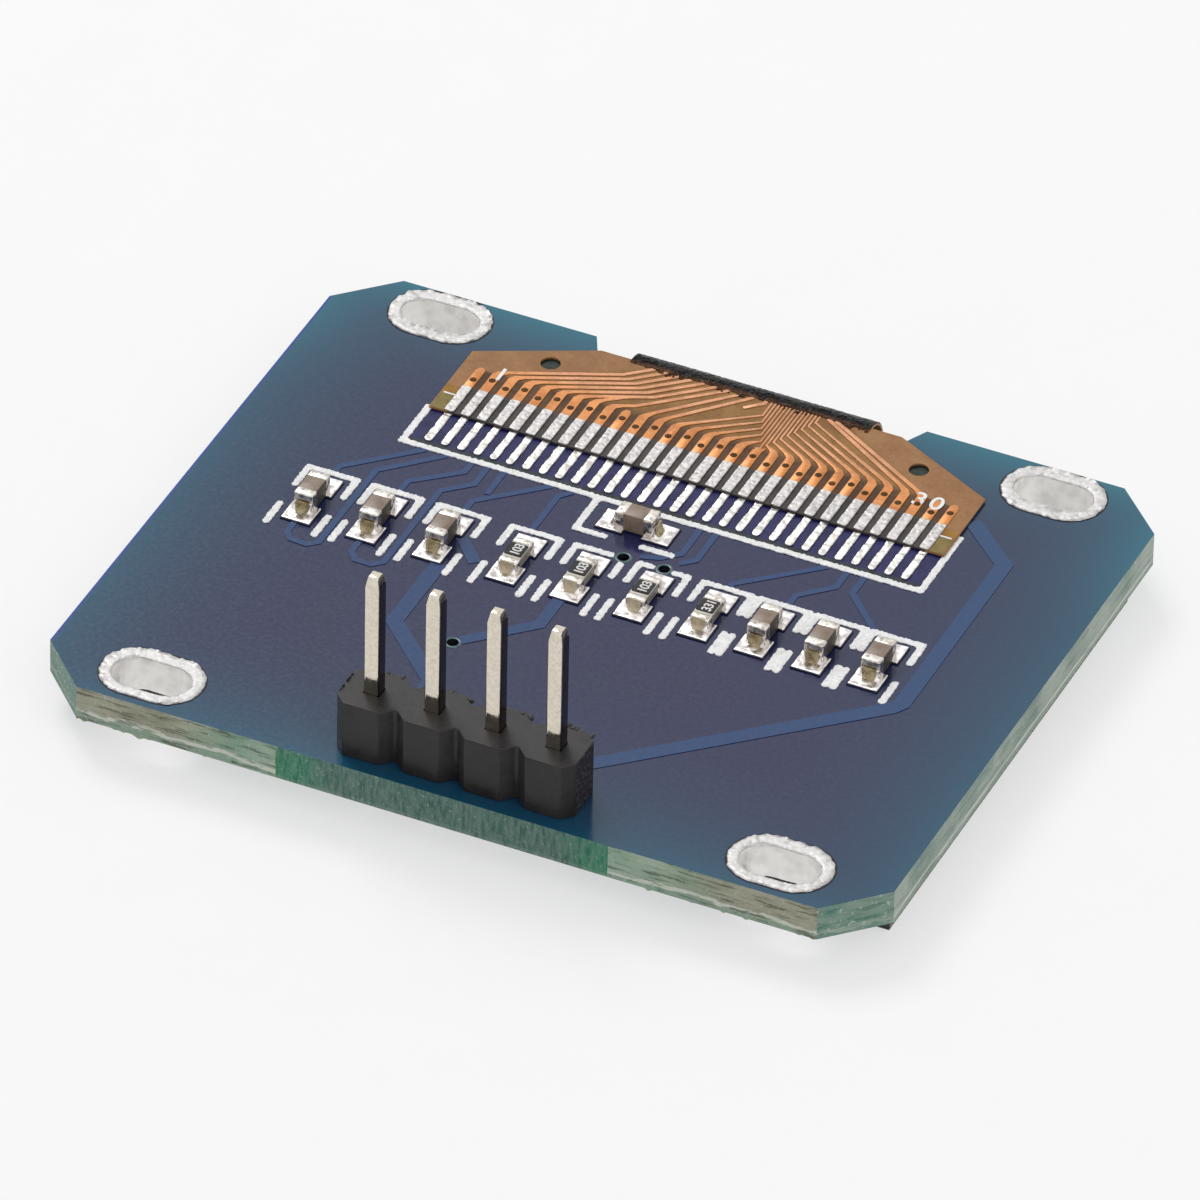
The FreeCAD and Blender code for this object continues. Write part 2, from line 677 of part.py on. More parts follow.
# Copper of the tail: a window above each finger, and lines that gather under the coat
def make_tail_copper(coating):
    near_y = size(FINGER_END)
    start_y = near_y + size("dims.window_length")
    entry_y = size(f"{BEND} - dims.cover_lap")
    wide, taper, thick = size("dims.window_width"), size("dims.window_taper"), size("dims.copper_thick")
    tracks = []
    for index in range(int(size("dims.contact_count"))):
        x = size(contact_x(index))
        if index in LONE_WINDOWS:
            window = [(x, near_y), (x, start_y - taper), (x, start_y)]
            tracks.append(strip(window, [wide, wide, wide / 2], thick))
        elif index == JOINED_WINDOW:
            before = line_route(index - 1, start_y, entry_y)
            middle = ((before[0][0] + 2 * before[1][0]) / 3, (before[0][1] + 2 * before[1][1]) / 3)
            joined = window_and_line([(x, start_y), middle], near_y, False)
            tracks[-1] = tracks[-1].fuse(joined).removeSplitter()
        else:
            route = line_route(index, start_y, entry_y)
            tracks.append(window_and_line(route, near_y, index in BUNDLE_LINES))
    spare_x = size(f"dims.left_entry_x + {len(LEFT_LINES)} * dims.left_entry_pitch")
    turn_y = entry_y - size("dims.trace_width")
    spare = [(spare_x - size("dims.spare_trace_run"), turn_y - size("dims.spare_trace_rise")),
             (spare_x, turn_y), (spare_x, entry_y)]
    tracks.append(strip(spare, size("dims.trace_width"), thick))
    copper = flat_group("tail_lines", tracks, size(FILM_TOP))
    keep(cut("tail_lines_trimmed", copper, coating), "tail_copper")


# Boxes of a chip are given along its own length, then turned for the chip that lies along X
def chip_box(name, x, y, along_x, start, length, width, low_z, height):
    if along_x:
        return box(name, f"{x} + {start} + ({length}) / 2", f"{y} - ({width}) / 2", low_z,
                   length, width, height)
    return box(name, x, f"{y} + {start}", low_z, width, length, height)


def chip_pads(name, x, y, along_x):
    pads = []
    for side, start in (("a", "(0 - dims.chip_pad_gap / 2 - dims.chip_pad_length)"),
                        ("b", "(dims.chip_pad_gap / 2)")):
        pads.append(chip_box(f"{name}_pad_{side}", x, y, along_x, start,
                             "dims.chip_pad_length", "dims.chip_pad_width", BOARD_TOP, "dims.pad_thick"))
    return pads


# Sloping solder against both end faces of a chip
def chip_fillets(name, x, y, along_x):
    fillets = []
    for side, turn in (("a", 180), ("b", 0)):
        wedge = doc.addObject("Part::Wedge", f"{name}_fillet_{side}")
        wedge.Xmin = wedge.Ymin = wedge.Zmin = wedge.X2min = wedge.X2max = wedge.Z2min = 0
        bind(wedge, Xmax="dims.fillet_run", Ymax="dims.fillet_rise", Zmax="dims.chip_width", Z2max="dims.chip_width")
        heading = turn if along_x else turn + 90
        stand = FreeCAD.Rotation(FreeCAD.Vector(1, 0, 0), 90)
        spin = FreeCAD.Rotation(FreeCAD.Vector(0, 0, 1), heading)
        wedge.Placement = FreeCAD.Placement(FreeCAD.Vector(0, 0, 0), spin.multiply(stand))
        sign = "-" if side == "a" else "+"
        end = "dims.chip_length / 2"
        half = "dims.chip_width / 2"
        if along_x:
            place(wedge, f"{x} {sign} {end}", f"{y} {sign} {half}", FILM_UNDER)
        else:
            place(wedge, f"{x} {'+' if sign == '-' else '-'} {half}", f"{y} {sign} {end}", FILM_UNDER)
        fillets.append(wedge)
    return fillets


# Chip capacitor: ceramic block between two metal ends
def make_capacitor(name, x, y, along_x):
    core = "(dims.chip_length - 2 * dims.chip_end)"
    keep(chip_box(f"{name}_core", x, y, along_x, f"(0 - {core} / 2)", core, "dims.chip_width",
                  FILM_UNDER, "dims.capacitor_height"), f"{name}_body")
    ends = []
    for side, start in (("a", "(0 - dims.chip_length / 2)"), ("b", f"({core} / 2)")):
        ends.append(chip_box(f"{name}_end_{side}", x, y, along_x, start, "dims.chip_end",
                             "dims.chip_width", FILM_UNDER, "dims.capacitor_height"))
    keep(compound(f"{name}_end_pair", ends), f"{name}_ends")


# Chip resistor: white ceramic, metal ends and a dark glaze on top
def make_resistor(name, x, y):
    core = "(dims.chip_length - 2 * dims.chip_end)"
    keep(chip_box(f"{name}_core", x, y, False, f"(0 - {core} / 2)", core, "dims.chip_width",
                  FILM_UNDER, "dims.resistor_height"), f"{name}_body")
    ends = []
    for side, start in (("a", "(0 - dims.chip_length / 2)"), ("b", f"({core} / 2)")):
        ends.append(chip_box(f"{name}_end_{side}", x, y, False, start, "dims.chip_end",
                             "dims.chip_width", FILM_UNDER, "dims.resistor_height"))
    keep(compound(f"{name}_end_pair", ends), f"{name}_ends")
    keep(chip_box(f"{name}_top", x, y, False, "(0 - dims.glaze_length / 2)", "dims.glaze_length",
                  "dims.chip_width", f"{FILM_UNDER} + dims.resistor_height", "dims.glaze_thick"),
         f"{name}_glaze")


def make_chips():
    pads, fillets = [], []
    counts = {"capacitor": 0, "resistor": 0}
    for x, kind in ROW_CHIPS:
        counts[kind] += 1
        name = f"{kind}_{counts[kind]}"
        if kind == "capacitor":
            make_capacitor(name, x, CHIP_ROW, False)
        else:
            make_resistor(name, x, CHIP_ROW)
        pads += chip_pads(name, x, CHIP_ROW, False)
        fillets += chip_fillets(name, x, CHIP_ROW, False)
    side_y = f"({CHIP_ROW} + dims.side_chip_rise)"
    name = f"capacitor_{counts['capacitor'] + 1}"
    make_capacitor(name, "dims.side_chip_x", side_y, True)
    pads += chip_pads(name, "dims.side_chip_x", side_y, True)
    fillets += chip_fillets(name, "dims.side_chip_x", side_y, True)
    keep(compound("fillet_group", fillets), "chip_solder")
    return keep(compound("pad_group", pads), "chip_pads")


# White print: a bracket and two strokes at each chip, and a frame round the tail's lands
def make_print():
    ink = "dims.ink_width"
    marks = []

    def mark(x, y, width, depth):
        marks.append(box(f"ink_{len(marks) + 1}", x, y, BOARD_TOP, width, depth, "dims.ink_thick"))

    bar_y = f"({CHIP_ROW} + dims.bracket_rise - {ink})"
    leg_shift = f"(dims.bracket_width - {ink}) / 2"
    for x, _ in ROW_CHIPS:
        mark(x, bar_y, "dims.bracket_width", ink)
        for sign in ("-", "+"):
            mark(f"{x} {sign} {leg_shift}", f"{bar_y} - dims.bracket_leg", ink, "dims.bracket_leg")
            mark(f"{x} {sign} {leg_shift}", f"{CHIP_ROW} + dims.stroke_start", ink, "dims.stroke_length")
    mark("0", FRAME_NEAR, "dims.frame_width", ink)
    for sign in ("-", "+"):
        mark(f"0 {sign} (dims.frame_width - {ink}) / 2", f"{FRAME_NEAR} + {ink}", ink,
             f"dims.frame_depth - {ink}")
    side_y = f"({CHIP_ROW} + dims.side_chip_rise)"
    near_line = f"({side_y} - dims.bracket_width / 2)"
    mark(f"dims.side_chip_x - dims.bracket_rise - {ink} / 2", f"{near_line} + {ink}", ink,
         f"{FRAME_NEAR} - {near_line} - {ink}")
    mark("dims.side_chip_x - dims.bracket_rise + dims.stroke_length / 2 - dims.ink_width", near_line,
         "dims.stroke_length", ink)
    mark("dims.side_chip_x + dims.bracket_rise - dims.stroke_length / 2", near_line,
         "dims.stroke_length", ink)
    via_outside = "(dims.via_hole + 2 * dims.via_rim)"
    clearances = []
    for index, (x, y) in enumerate(VIAS[1:], start=1):
        clearances.append(box(f"ink_clearance_{index}", x, f"{y} - {via_outside} / 2", BOARD_TOP,
                              via_outside, via_outside, "dims.ink_thick"))
    printed = cut("ink", fused("ink_marks", marks), compound("ink_clearances", clearances))
    return keep(printed, "white_print")


# Raised lines of the mask where copper runs under it, trimmed where other pieces sit on the board
def make_mask_lines(neighbours):
    row, tail, head = size(CHIP_ROW), size(FILM_NEAR), size(PIN_ROW)
    pad_near = row - size("dims.chip_pad_gap / 2 + dims.chip_pad_length")
    bar_far = row + size("dims.bracket_rise")
    frame = size(FRAME_NEAR)
    housing_back = size(HOUSING_BACK)
    thin, feed = size("dims.line_width"), size("dims.feed_width")
    link, supply = size("dims.link_width"), size("dims.supply_width")
    via_x, via_y = size(VIAS[0][0]), size(VIAS[0][1])
    via_edge = size("dims.via_hole / 2 + dims.via_rim")
    chip_x = [x for x, _ in ROW_CHIPS]
    lines = [
        ([(chip_x[0], bar_far), (chip_x[0], bar_far + 0.4), (-9.95, frame)], thin),
        ([(chip_x[1] + 0.02, bar_far), (chip_x[1] + 0.02, bar_far + 0.7), (-7.98, row + 4.25), (-7.98, frame)],
         thin),
        ([(chip_x[2], bar_far), (chip_x[2], bar_far + 0.65), (-4.55, frame)], thin),
        ([(-6.6, frame), (-6.6, row + 3.32)], thin),
        ([(chip_x[3] - 0.27, bar_far), (chip_x[3] - 0.27, frame - 0.5), (-3.65, frame)], thin),
        ([(chip_x[0], pad_near), (chip_x[0], row - 2.25), (-12.2, row - 2.6), (-11.5, row - 2.65),
          (-11.12, row - 2.3), (-11.12, row + 2.85), (-9.05, frame)], thin),
        ([(chip_x[1], pad_near), (chip_x[1], row - 2.3), (-9.38, row - 2.7), (-8.7, row - 2.72),
          (-8.32, row - 2.35), (-8.32, row + 2.75), (-7.3, row + 3.7), (-7.3, frame)], thin),
        ([(-6.25, row + 0.35), (-5.15, row - 0.85)], link),
        ([(-6.36, pad_near), (-6.36, row - 5.55), (-3.5, head + 4.4), (-3.2, housing_back)], feed),
        ([(via_x + via_edge, via_y + 0.42), (-1.24, row - 3.3), (-1.24, pad_near)], link),
        ([(1.95, row + 2.55), (2.48, row + 3.05), (2.48, frame)], thin),
        ([(0.4, row + 2.3), (1.15, row + 2.55), (1.8, row + 3.15), (1.8, frame)], thin),
        ([(chip_x[6], bar_far), (chip_x[6], bar_far + 0.25), (7.2, frame)], thin),
        ([(chip_x[7] + 0.1, bar_far), (chip_x[7] + 0.1, bar_far + 0.65), (8.02, frame - 1.05), (8.02, frame)],
         thin),
        ([(10.4, bar_far), (8.75, frame - 1.15), (8.75, frame)], thin),
        ([(size(pin_x(3)), housing_back), (4.1, head + 2.35), (13.05, row - 2.15), (13.28, row - 1.75),
          (13.28, tail + 0.6), (11.1, tail + 2.6)], supply),
    ]
    step = size("dims.mask_step")
    solids = [strip(points, width, step) for points, width in lines]
    raised = flat_group("raised_lines", solids, size(BOARD_TOP))
    keep(cut("raised_lines_trimmed", raised, compound("line_neighbours", neighbours)), "mask_lines")


make_board()
for slot_name, slot_x, slot_y in SLOTS:
    make_slot_lining(slot_name, slot_x, slot_y)
vias = make_vias()
housing = make_housing()
for pin_index in range(4):
    make_pin_and_solder(pin_index)
make_display()
make_film()
make_tail_copper(make_bend_cover())
make_contacts()
pads = make_chips()
ink = make_print()
make_mask_lines([vias, housing, pads, ink])
doc.recompute()

failed = [item.Name for item in doc.Objects if "Invalid" in item.State or "Error" in item.State]
if failed:
    raise RuntimeError(f"objects that did not compute: {failed}")
for part in parts:
    if part.Shape.isNull() or not part.Shape.isValid():
        raise RuntimeError(f"{part.Label} has no valid shape")

os.makedirs("parts", exist_ok=True)
for part in parts:
    part.Shape.exportStep(os.path.join("parts", f"{part.Label}.step"))
    print(part.Label, len(part.Shape.Solids), "solids", round(part.Shape.Volume, 4), "mm3")
print(len(parts), "sub-parts")
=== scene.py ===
import json
import math
import random

import bpy
from mathutils import Matrix, Vector

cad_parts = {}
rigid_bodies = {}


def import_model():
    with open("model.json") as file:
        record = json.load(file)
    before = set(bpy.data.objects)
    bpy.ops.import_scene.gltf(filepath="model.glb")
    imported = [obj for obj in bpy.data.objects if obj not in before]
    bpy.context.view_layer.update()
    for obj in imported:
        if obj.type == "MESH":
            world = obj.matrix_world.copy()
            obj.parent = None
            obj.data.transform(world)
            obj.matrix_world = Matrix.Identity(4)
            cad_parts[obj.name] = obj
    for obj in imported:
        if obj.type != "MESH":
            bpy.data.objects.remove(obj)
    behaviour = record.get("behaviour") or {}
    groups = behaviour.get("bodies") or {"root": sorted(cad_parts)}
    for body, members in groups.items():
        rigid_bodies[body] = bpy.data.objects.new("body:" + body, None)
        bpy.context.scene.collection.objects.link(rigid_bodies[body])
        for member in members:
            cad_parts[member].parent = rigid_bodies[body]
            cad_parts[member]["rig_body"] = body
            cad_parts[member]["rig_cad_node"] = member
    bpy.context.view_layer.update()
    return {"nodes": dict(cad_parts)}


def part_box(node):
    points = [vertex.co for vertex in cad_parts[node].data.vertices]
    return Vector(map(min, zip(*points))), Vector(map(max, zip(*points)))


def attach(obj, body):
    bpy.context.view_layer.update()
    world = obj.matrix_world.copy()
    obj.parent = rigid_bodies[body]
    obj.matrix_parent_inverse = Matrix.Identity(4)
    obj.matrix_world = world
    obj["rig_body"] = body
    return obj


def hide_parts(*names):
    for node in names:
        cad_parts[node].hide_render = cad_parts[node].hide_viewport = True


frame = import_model()
nodes = frame["nodes"]
random.seed(21)
mm = 0.001
print("frame loaded:", len(nodes), "nodes")

# Pieces are modelled in millimetres, a thousand times up, and brought to metres when they are finished.


def boxMm(nodeName):
    low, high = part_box(nodeName)
    return low / mm, high / mm


boardLow, boardHigh = boxMm("circuit_board")
boardTop = boardHigh.z
nearEdge = boardLow.y


# Working steps that every piece uses

def leaveEdit():
    bpy.ops.object.mode_set(mode="OBJECT")


def activate(piece):
    if bpy.context.object and bpy.context.object.mode != "OBJECT":
        leaveEdit()
    bpy.ops.object.select_all(action="DESELECT")
    piece.select_set(True)
    bpy.context.view_layer.objects.active = piece


def editAll(piece):
    activate(piece)
    bpy.ops.object.mode_set(mode="EDIT")
    bpy.ops.mesh.select_all(action="SELECT")


def applyModifier(piece, kind, **settings):
    activate(piece)
    modifier = piece.modifiers.new(kind.title(), kind)
    for key, value in settings.items():
        setattr(modifier, key, value)
    bpy.ops.object.modifier_apply(modifier=modifier.name)


def applyPlace(piece):
    activate(piece)
    bpy.ops.object.transform_apply(location=True, rotation=True, scale=True)


def joinPieces(pieces):
    activate(pieces[0])
    for piece in pieces:
        piece.select_set(True)
    if len(pieces) > 1:
        bpy.ops.object.join()
    return bpy.context.view_layer.objects.active


def duplicate(source):
    twin = source.copy()
    twin.data = source.data.copy()
    bpy.context.scene.collection.objects.link(twin)
    return twin


def copyPiece(piece, shift=(0, 0, 0), turn=0.0, stretch=(1, 1, 1)):
    twin = duplicate(piece)
    twin.location = Vector(shift)
    twin.rotation_euler = (0, 0, turn)
    twin.scale = stretch
    applyPlace(twin)
    return twin


# A copy of a CAD node as one clean mesh, its loose triangles merged into whole faces
def mergedCopy(nodeName):
    piece = duplicate(nodes[nodeName])
    piece.parent = None
    del piece["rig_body"], piece["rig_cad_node"]
    piece.scale = (1 / mm,) * 3
    applyPlace(piece)
    editAll(piece)
    bpy.ops.mesh.remove_doubles(threshold=0.0005)
    bpy.ops.mesh.dissolve_limited(angle_limit=math.radians(0.5))
    leaveEdit()
    return piece


# Goes into edit mode with only the vertices or edges selected that the rule names
def pickParts(piece, kind, rule):
    activate(piece)
    bpy.ops.object.mode_set(mode="EDIT")
    bpy.ops.mesh.select_mode(type=kind)
    bpy.ops.mesh.select_all(action="DESELECT")
    leaveEdit()
    for part in piece.data.vertices if kind == "VERT" else piece.data.edges:
        part.select = rule(part)
    bpy.ops.object.mode_set(mode="EDIT")


def pickVertices(piece, rule):
    pickParts(piece, "VERT", lambda vertex: rule(vertex.co))


def moveVertices(piece, rule, shift):
    pickVertices(piece, rule)
    bpy.ops.transform.translate(value=shift)
    leaveEdit()


def resizeVertices(piece, rule, growth, centre):
    pickVertices(piece, rule)
    bpy.ops.transform.resize(value=growth, center_override=centre)
    leaveEdit()


def fatten(piece, distance):
    editAll(piece)
    bpy.ops.transform.shrink_fatten(value=distance)
    leaveEdit()


def edgeRun(piece, edge):
    first, second = (piece.data.vertices[index].co for index in edge.vertices)
    return second - first


def roundEdges(piece, width, segments=2, angle=35):
    applyModifier(piece, "BEVEL", width=width, segments=segments, limit_method="ANGLE",
                  angle_limit=math.radians(angle), use_clamp_overlap=True)


# Rounds only the upright edges, so that a flat bar gets round ends
def roundUprights(piece, width, segments=4):
    weights = piece.data.attributes.new("bevel_weight_edge", "FLOAT", "EDGE")
    for edge in piece.data.edges:
        run = edgeRun(piece, edge)
        weights.data[edge.index].value = 1.0 if abs(run.z) > 0.9 * run.length else 0.0
    applyModifier(piece, "BEVEL", width=width, segments=segments, limit_method="WEIGHT",
                  use_clamp_overlap=True)


noiseTextures = {}


def pushByNoise(piece, noiseSize, strength, middle=0.5, direction="NORMAL", group="", depth=1):
    key = (noiseSize, depth)
    if key not in noiseTextures:
        noiseTextures[key] = bpy.data.textures.new(f"lumps{len(noiseTextures)}", "CLOUDS")
        noiseTextures[key].noise_scale = noiseSize
        noiseTextures[key].noise_depth = depth
    applyModifier(piece, "DISPLACE", texture=noiseTextures[key], texture_coords="LOCAL", strength=strength,
                  mid_level=middle, direction=direction, vertex_group=group)


# Even skin of small faces, softened and pushed in and out by cloud noise
def makeLumpy(piece, voxel, noiseSize, strength, soften=2, middle=0.5):
    applyModifier(piece, "REMESH", mode="VOXEL", voxel_size=voxel, use_smooth_shade=True)
    if soften:
        applyModifier(piece, "SMOOTH", factor=0.5, iterations=soften)
    pushByNoise(piece, noiseSize, strength, middle)


# Closed ring drawn through a list of (radius, height) steps, then pulled apart along X to an oval
def ovalRing(middle, straight, profile, around):
    radius, height = profile[0]
    bpy.ops.mesh.primitive_circle_add(vertices=around, radius=radius, fill_type="NOTHING",
                                      location=(middle.x, middle.y, height))
    ring = bpy.context.object
    applyPlace(ring)
    editAll(ring)
    for nextRadius, nextHeight in profile[1:] + profile[:1]:
        bpy.ops.mesh.extrude_region_move(TRANSFORM_OT_translate={"value": (0, 0, nextHeight - height)})
        growth = nextRadius / radius
        bpy.ops.transform.resize(value=(growth, growth, 1), center_override=(middle.x, middle.y, nextHeight))
        radius, height = nextRadius, nextHeight
    bpy.ops.mesh.select_all(action="SELECT")
    bpy.ops.mesh.remove_doubles(threshold=0.0005)
    bpy.ops.mesh.normals_make_consistent(inside=False)
    leaveEdit()
    if straight:
        moveVertices(ring, lambda point: point.x > middle.x + 1e-4, (straight / 2, 0, 0))
        moveVertices(ring, lambda point: point.x < middle.x - 1e-4, (-straight / 2, 0, 0))
        pickParts(ring, "EDGE", lambda edge: abs(edgeRun(ring, edge).x) > 0.45 * straight)
        bpy.ops.mesh.subdivide(number_cuts=9)
        leaveEdit()
    return ring


def addGrid(columns, rows, place, size, turn=(0, 0, 0)):
    bpy.ops.mesh.primitive_grid_add(x_subdivisions=columns, y_subdivisions=rows, size=1, location=place,
                                    rotation=turn)
    grid = bpy.context.object
    grid.scale = size
    applyPlace(grid)
    return grid


def addBar(place, size, rounding):
    bpy.ops.mesh.primitive_cube_add(size=1, location=place)
    bar = bpy.context.object
    bar.scale = size
    applyPlace(bar)
    roundUprights(bar, rounding)
    return bar


def addText(body, place, turn, size, depth, spacing):
    bpy.ops.object.text_add(location=place, rotation=(0, 0, turn))
    text = bpy.context.object
    text.data.body = body
    text.data.size = size
    text.data.extrude = depth
    text.data.offset = 0.012
    text.data.space_character = spacing
    text.data.align_x = "CENTER"
    text.data.align_y = "CENTER"
    activate(text)
    bpy.ops.object.convert(target="MESH")
    return bpy.context.object


def finishPiece(piece, name, finish, standsFor=(), smooth=35):
    applyPlace(piece)
    piece.scale = (mm, mm, mm)
    applyPlace(piece)
    piece.name = name
    piece.data.name = name
    piece.data.materials.clear()
    piece.data.materials.append(bpy.data.materials[finish])
    if smooth:
        activate(piece)
        bpy.ops.object.shade_smooth_by_angle(angle=math.radians(smooth))
        if smooth < 180:
            applyModifier(piece, "WEIGHTED_NORMAL", keep_sharp=True)
    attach(piece, "root")
    if standsFor:
        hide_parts(*standsFor)


def paintFaces(piece, finish, rule):
    piece.data.materials.append(bpy.data.materials[finish])
    index = len(piece.data.materials) - 1
    for face in piece.data.polygons:
        if rule(face):
            face.material_index = index


# Material building, with every pattern on Object coordinates

def isSocket(value):
    return isinstance(value, bpy.types.NodeSocket)


def link(source, target):
    source.id_data.links.new(source, target)


# New node in the tree that its inputs come from, unless another is given
def addNode(kind, inputs, tree=None, **settings):
    tree = tree or next(value.id_data for value in inputs.values() if isSocket(value))
    node = tree.nodes.new("ShaderNode" + kind)
    for key, value in settings.items():
        setattr(node, key, value)
    for key, value in inputs.items():
        if isSocket(value):
            link(value, node.inputs[key])
        else:
            node.inputs[key].default_value = value
    return node


def calc(operation, first, second=0.0):
    return addNode("Math", {0: first, 1: second}, operation=operation).outputs[0]


def plus(first, second):
    return calc("ADD", first, second)


def minus(first, second):
    return calc("SUBTRACT", first, second)


def times(first, second):
    return calc("MULTIPLY", first, second)


def remap(value, low, high, toLow=0.0, toHigh=1.0):
    return addNode("MapRange", {"Value": value, "From Min": low, "From Max": high, "To Min": toLow,
                                "To Max": toHigh}, interpolation_type="SMOOTHSTEP").outputs["Result"]


def remapMm(value, low, high, *ends):
    return remap(value, low * mm, high * mm, *ends)


def blendColour(factor, first, second):
    first, second = (tone if isSocket(tone) else (*tone, 1.0) for tone in (first, second))
    return addNode("Mix", {0: factor, 6: first, 7: second}, data_type="RGBA").outputs[2]


def noiseOn(vector, scale, detail=2.0, roughness=0.5):
    return addNode("TexNoise", {"Vector": vector, "Scale": scale, "Detail": detail, "Roughness": roughness}
                   ).outputs[0]


def axes(vector):
    return list(addNode("SeparateXYZ", {"Vector": vector}).outputs)


def newGroup(name, inputs, outputs):
    tree = bpy.data.node_groups.new(name, "ShaderNodeTree")
    tree.interface.new_socket(name="Vector", in_out="INPUT", socket_type="NodeSocketVector")
    for label, value in inputs.items():
        socket = tree.interface.new_socket(name=label, in_out="INPUT", socket_type="NodeSocketFloat")
        socket.default_value = value
    for label in outputs:
        tree.interface.new_socket(name=label, in_out="OUTPUT", socket_type="NodeSocketFloat")
    return tree, tree.nodes.new("NodeGroupInput").outputs, tree.nodes.new("NodeGroupOutput").inputs


# Grain: soft clouds and fine specks, for moulded, fired and printed surfaces
def buildGrain():
    tree, entry, leave = newGroup("surfaceGrain", {"Size": 1000}, ("Tone", "Height"))
    vector, scale = entry["Vector"], entry["Size"]
    clouds = noiseOn(vector, scale, 3.0)
    specks = noiseOn(vector, times(scale, 5.0), 2.0, 0.7)
    tone = plus(times(clouds, 0.6), times(specks, 0.4))
    link(remap(tone, 0.32, 0.68), leave["Tone"])
    link(plus(times(clouds, 0.4), times(specks, 0.6)), leave["Height"])
    return tree


# Mottle: the cells, pits and bright freckles of tinned metal
def buildMottle():
    tree, entry, leave = newGroup("tinMottle", {"Size": 3000}, ("Cells", "Freckles", "Height"))
    vector, scale = entry["Vector"], entry["Size"]
    wander = noiseOn(vector, times(scale, 0.6), 3.0)
    cells = addNode("TexVoronoi", {"Vector": vector, "Scale": scale, "Smoothness": 0.4},
                    feature="SMOOTH_F1").outputs["Distance"]
    freckles = noiseOn(vector, times(scale, 2.2), 2.0, 0.8)
    mottle = plus(times(wander, 0.65), times(cells, 0.45))
    link(remap(mottle, 0.3, 0.75), leave["Cells"])
    link(remap(freckles, 0.56, 0.68), leave["Freckles"])
    link(plus(mottle, times(freckles, 0.3)), leave["Height"])
    return tree


# Plies: the long glass fibres of a laminate's cut edge, drawn out along one direction
def buildPlies():
    tree, entry, leave = newGroup("laminatePlies", {"Along": 500, "Across": 6000},
                                  ("Fibre", "Cloud", "Height"))
    x, y, z = axes(entry["Vector"])
    combined = addNode("CombineXYZ", {"X": times(plus(x, y), entry["Along"]), "Y": 0.0,
                                      "Z": times(z, entry["Across"])}).outputs[0]
    fibre = noiseOn(combined, 1.0, 4.0, 0.65)
    cloud = noiseOn(entry["Vector"], 420, 3.0)
    link(remap(fibre, 0.35, 0.65), leave["Fibre"])
    link(remap(cloud, 0.35, 0.65), leave["Cloud"])
    link(fibre, leave["Height"])
    return tree


grainGroup = buildGrain()
mottleGroup = buildMottle()
pliesGroup = buildPlies()


def placeGroup(group, vector, **values):
    return addNode("Group", {"Vector": vector, **values}, node_tree=group).outputs


def newMaterial(name, **surface):
    material = bpy.data.materials.new(name)
    material.use_nodes = True
    tree = material.node_tree
    shader = tree.nodes["Principled BSDF"].inputs
    for key, value in surface.items():
        shader[key.replace("_", " ")].default_value = value
    return shader, addNode("TexCoord", {}, tree).outputs["Object"]


# Colour, a gloss that follows the mask between two values, and relief with its depth in mm
def paint(shader, tone, mask, gloss, height, relief):
    link(tone, shader["Base Color"])
    link(remap(mask, 0.0, 1.0, *gloss), shader["Roughness"])
    if relief:
        bump = addNode("Bump", {"Height": height, "Distance": relief * mm, "Strength": 1.0})
        link(bump.outputs["Normal"], shader["Normal"])


def paintGrain(shader, tone, grain, gloss, relief):
    paint(shader, tone, grain["Tone"], gloss, grain["Height"], relief)


# Blue mask: violet in the middle of the board and teal towards its edges, glossy, with faint orange peel, and
# a bright blue line along the left edge, a painted highlight
maskLook = {
    "halfWidth": (boardHigh.x - boardLow.x) / 2, "halfDepth": (boardHigh.y - boardLow.y) / 2,
    "farBorder": (0.006, 0.145, 0.205), "fade": 2.6, "corner": 2.0, "wander": 0.7,
    "dust": (0.03, 0.05, 0.12), "dustShare": 0.18, "edgeLine": (0.01, 0.05, 0.30), "edgeLineAt": (0.13, 0.07),
    "gloss": (0.10, 0.2), "relief": 0.0025,
}
maskTones = {  # middle and border of the board
    "blueMask": ((0.011, 0.012, 0.064), (0.004, 0.075, 0.135)),
    "blueMaskOverCopper": ((0.006, 0.042, 0.15), (0.004, 0.085, 0.19)),
}


def buildMaskFinish(name, middle, border):
    shader, place = newMaterial(name, IOR=1.5)
    x, y, _ = axes(place)
    halfDepth = maskLook["halfDepth"] * mm
    inset = calc("SMOOTH_MIN", minus(maskLook["halfWidth"] * mm, calc("ABSOLUTE", x)),
                 minus(halfDepth, calc("ABSOLUTE", y)))
    inset.node.inputs[2].default_value = maskLook["corner"] * mm
    wander = times(minus(noiseOn(place, 90.0), 0.5), maskLook["wander"] * mm)
    fade = calc("POWER", 2.718, calc("DIVIDE", plus(inset, wander), -maskLook["fade"] * mm))
    edgeTone = blendColour(remap(y, 0.3 * halfDepth, halfDepth), border, maskLook["farBorder"])
    tone = blendColour(calc("MINIMUM", fade, 1.0), middle, edgeTone)
    grain = placeGroup(grainGroup, place, Size=5200)
    tone = blendColour(times(grain["Tone"], maskLook["dustShare"]), tone, maskLook["dust"])
    # Bright blue line along the board's left edge: painted highlight
    edgeLine = remapMm(x, *(boardLow.x + away for away in maskLook["edgeLineAt"]))
    tone = blendColour(edgeLine, tone, maskLook["edgeLine"])
    weave = addNode("TexWave", {"Vector": place, "Scale": 420, "Distortion": 2.0}, wave_type="BANDS",
                    bands_direction="DIAGONAL").outputs["Fac"]
    height = plus(noiseOn(place, 2400), times(weave, 0.15))
    paint(shader, tone, grain["Tone"], maskLook["gloss"], height, maskLook["relief"])


